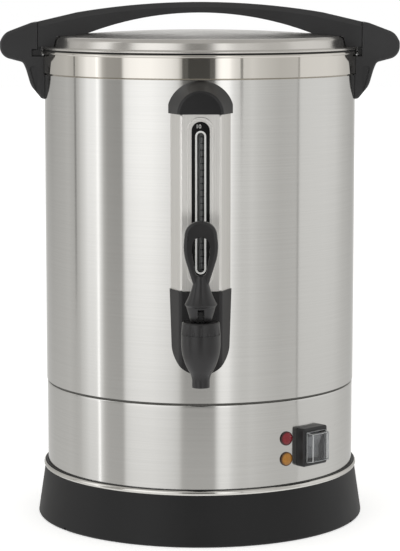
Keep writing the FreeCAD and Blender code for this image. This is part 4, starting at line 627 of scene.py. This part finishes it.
def litTentCloth():
    # the wall's cloths as stripes round the tent, each running into the next
    finish, tree = newFinish("litTentCloth")
    place = addNode(tree, "ShaderNodeSeparateXYZ",
                    {0: addNode(tree, "ShaderNodeTexCoord").outputs["Object"]})
    back = addNode(tree, "ShaderNodeMath", {0: place.outputs["Y"], 1: -1.0},
                   operation="MULTIPLY").outputs[0]
    turn = addNode(tree, "ShaderNodeMath", {0: place.outputs["X"], 1: back},
                   operation="ARCTAN2").outputs[0]
    sides = []
    for cloths in (studio["leftWall"], studio["rightWall"]):
        start, end = cloths[0][0], cloths[-1][0]
        share = addNode(tree, "ShaderNodeMapRange",
                        {"Value": turn, "From Min": math.radians(start),
                         "From Max": math.radians(end)})
        ramp = addNode(tree, "ShaderNodeValToRGB", {0: share.outputs[0]})
        stops = ramp.color_ramp.elements
        stops[0].color = halfLevel(cloths[0][1])
        stops[1].color = halfLevel(cloths[-1][1])
        for azimuth, level in cloths[1:-1]:
            stop = stops.new((azimuth - start) / (end - start))
            stop.color = halfLevel(level)
        sides.append(ramp.outputs[0])
    right = addNode(tree, "ShaderNodeMath", {0: turn, 1: 0.0}, operation="GREATER_THAN").outputs[0]
    stripes = addNode(tree, "ShaderNodeMix", {0: right, 6: sides[0], 7: sides[1]},
                      data_type="RGBA").outputs[2]
    # the wall's stripes fade towards the floor
    fade = addNode(tree, "ShaderNodeMapRange",
                   {"Value": place.outputs["Z"], "From Min": studio["fadeTop"],
                    "From Max": studio["fadeFoot"], "To Max": studio["fade"]}).outputs[0]
    cloth = addNode(tree, "ShaderNodeMix", {0: fade, 6: stripes, 7: halfLevel(studio["plain"])},
                    data_type="RGBA")
    showShader(tree, addNode(tree, "ShaderNodeEmission", {"Color": cloth.outputs[2], "Strength": 2.0}))
    finish.cycles.emission_sampling = "NONE"
    return finish


def plainCloth(name, level):
    finish, tree = newFinish(name)
    showShader(tree, addNode(tree, "ShaderNodeEmission", {"Color": warmed(level), "Strength": 1.0}))
    finish.cycles.emission_sampling = "NONE"
    return finish


tent = tentWall("lightTent", studio["low"], studio["high"], -180, 180, studio["radius"])
tent.data.materials.append(litTentCloth())

rim = [onTent(azimuth, studio["high"], studio["radius"]) for azimuth in range(0, 360, studio["step"])]
mesh = bpy.data.meshes.new("tentRoof")
mesh.from_pydata(rim, [], [tuple(range(len(rim)))])
roof = bpy.data.objects.new("tentRoof", mesh)
bpy.context.scene.collection.objects.link(roof)
roof.visible_camera = False
roof.data.materials.append(plainCloth("plainRoofCloth", studio["roof"]))

shade = studio["camera"]
cameraShade = tentWall("cameraShade", shade["low"], shade["high"], shade["azimuth"] - shade["width"],
                       shade["azimuth"] + shade["width"], studio["radius"] - shade["inset"])
cameraShade.data.materials.append(plainCloth("darkCameraCloth", shade["level"]))

for number, (azimuth, width, low, high, level) in enumerate(studio["strips"]):
    strip = tentWall(f"tentStrip{number}", low, high, azimuth - width / 2, azimuth + width / 2,
                     studio["radius"] - studio["stripInset"])
    strip.data.materials.append(plainCloth(f"stripCloth{number}", level))


def backgroundRays(tree):
    # 1 for rays from the camera and for those that metal and glass send on
    rays = addNode(tree, "ShaderNodeLightPath").outputs
    mirror = addNode(tree, "ShaderNodeMath", {0: rays["Is Glossy Ray"], 1: rays["Is Transmission Ray"]},
                     operation="MAXIMUM").outputs[0]
    return addNode(tree, "ShaderNodeMath", {0: rays["Is Camera Ray"], 1: mirror},
                   operation="MAXIMUM").outputs[0]


world = bpy.data.worlds.new("studioRoom")
bpy.context.scene.world = world
world.use_nodes = True
tree = world.node_tree
tree.nodes.clear()
room = addNode(tree, "ShaderNodeBackground", {"Color": (1, 1, 1, 1), "Strength": studio["room"]})
white = addNode(tree, "ShaderNodeBackground", {"Color": (1, 1, 1, 1), "Strength": 1.0})
both = addNode(tree, "ShaderNodeMixShader",
               {0: backgroundRays(tree), 1: room.outputs[0], 2: white.outputs[0]})
addNode(tree, "ShaderNodeOutputWorld", {"Surface": both.outputs[0]})

floorLook = {
    "half": 7.0,             # metres from the middle to an edge
    "colour": "#F4F4F3",
    "lift": 0.56,            # brings the lit floor up to white in the picture, and leaves the shadow
}
mesh = bpy.data.meshes.new("floor")
half = floorLook["half"]
mesh.from_pydata([(-half, -half, 0), (half, -half, 0), (half, half, 0), (-half, half, 0)], [],
                 [(0, 1, 2, 3)])
floor = bpy.data.objects.new("floor", mesh)
bpy.context.scene.collection.objects.link(floor)
finish, tree = newFinish("paleStudioFloor")
matt = addNode(tree, "ShaderNodeBsdfDiffuse", {"Color": hexColour(floorLook["colour"])})
lift = addNode(tree, "ShaderNodeEmission", {"Color": (1, 1, 1, 1), "Strength": floorLook["lift"]})
lifted = addNode(tree, "ShaderNodeAddShader", {0: matt.outputs[0], 1: lift.outputs[0]})
both = addNode(tree, "ShaderNodeMixShader",
               {0: backgroundRays(tree), 1: matt.outputs[0], 2: lifted.outputs[0]})
showShader(tree, both)
floor.data.materials.append(finish)
floor.visible_glossy = False      # the steel mirrors the tent down to its foot
print("studio built")


# Camera

cameraView = {
    "distance": 1.784,       # metres from the urn's axis
    "height": 0.4337,
    "downDegrees": 7.68,
    "leftDegrees": 0.27,     # the photograph is taken from just left of the tap
    "lens": 144.33,
    "sensor": 36,
    "near": 0.05,
    "far": 50,
    "picture": (400, 551),
    "centre": (199.8, 276.0),        # where the straight-ahead line meets the picture
}
lens = bpy.data.cameras.new("urnCamera")
lens.lens = cameraView["lens"]
lens.sensor_width = cameraView["sensor"]
width, height = cameraView["picture"]
lens.shift_x = (width / 2 - cameraView["centre"][0]) / height
lens.shift_y = (cameraView["centre"][1] - height / 2) / height
lens.clip_start = cameraView["near"]
lens.clip_end = cameraView["far"]
cameraObject = bpy.data.objects.new("urnCamera", lens)
bpy.context.scene.collection.objects.link(cameraObject)
side = math.radians(cameraView["leftDegrees"])
cameraObject.location = (-cameraView["distance"] * math.sin(side),
                         -cameraView["distance"] * math.cos(side), cameraView["height"])
cameraObject.rotation_euler = (math.radians(90 - cameraView["downDegrees"]), 0, -side)
bpy.context.scene.camera = cameraObject
bpy.context.scene.view_settings.view_transform = "Standard"
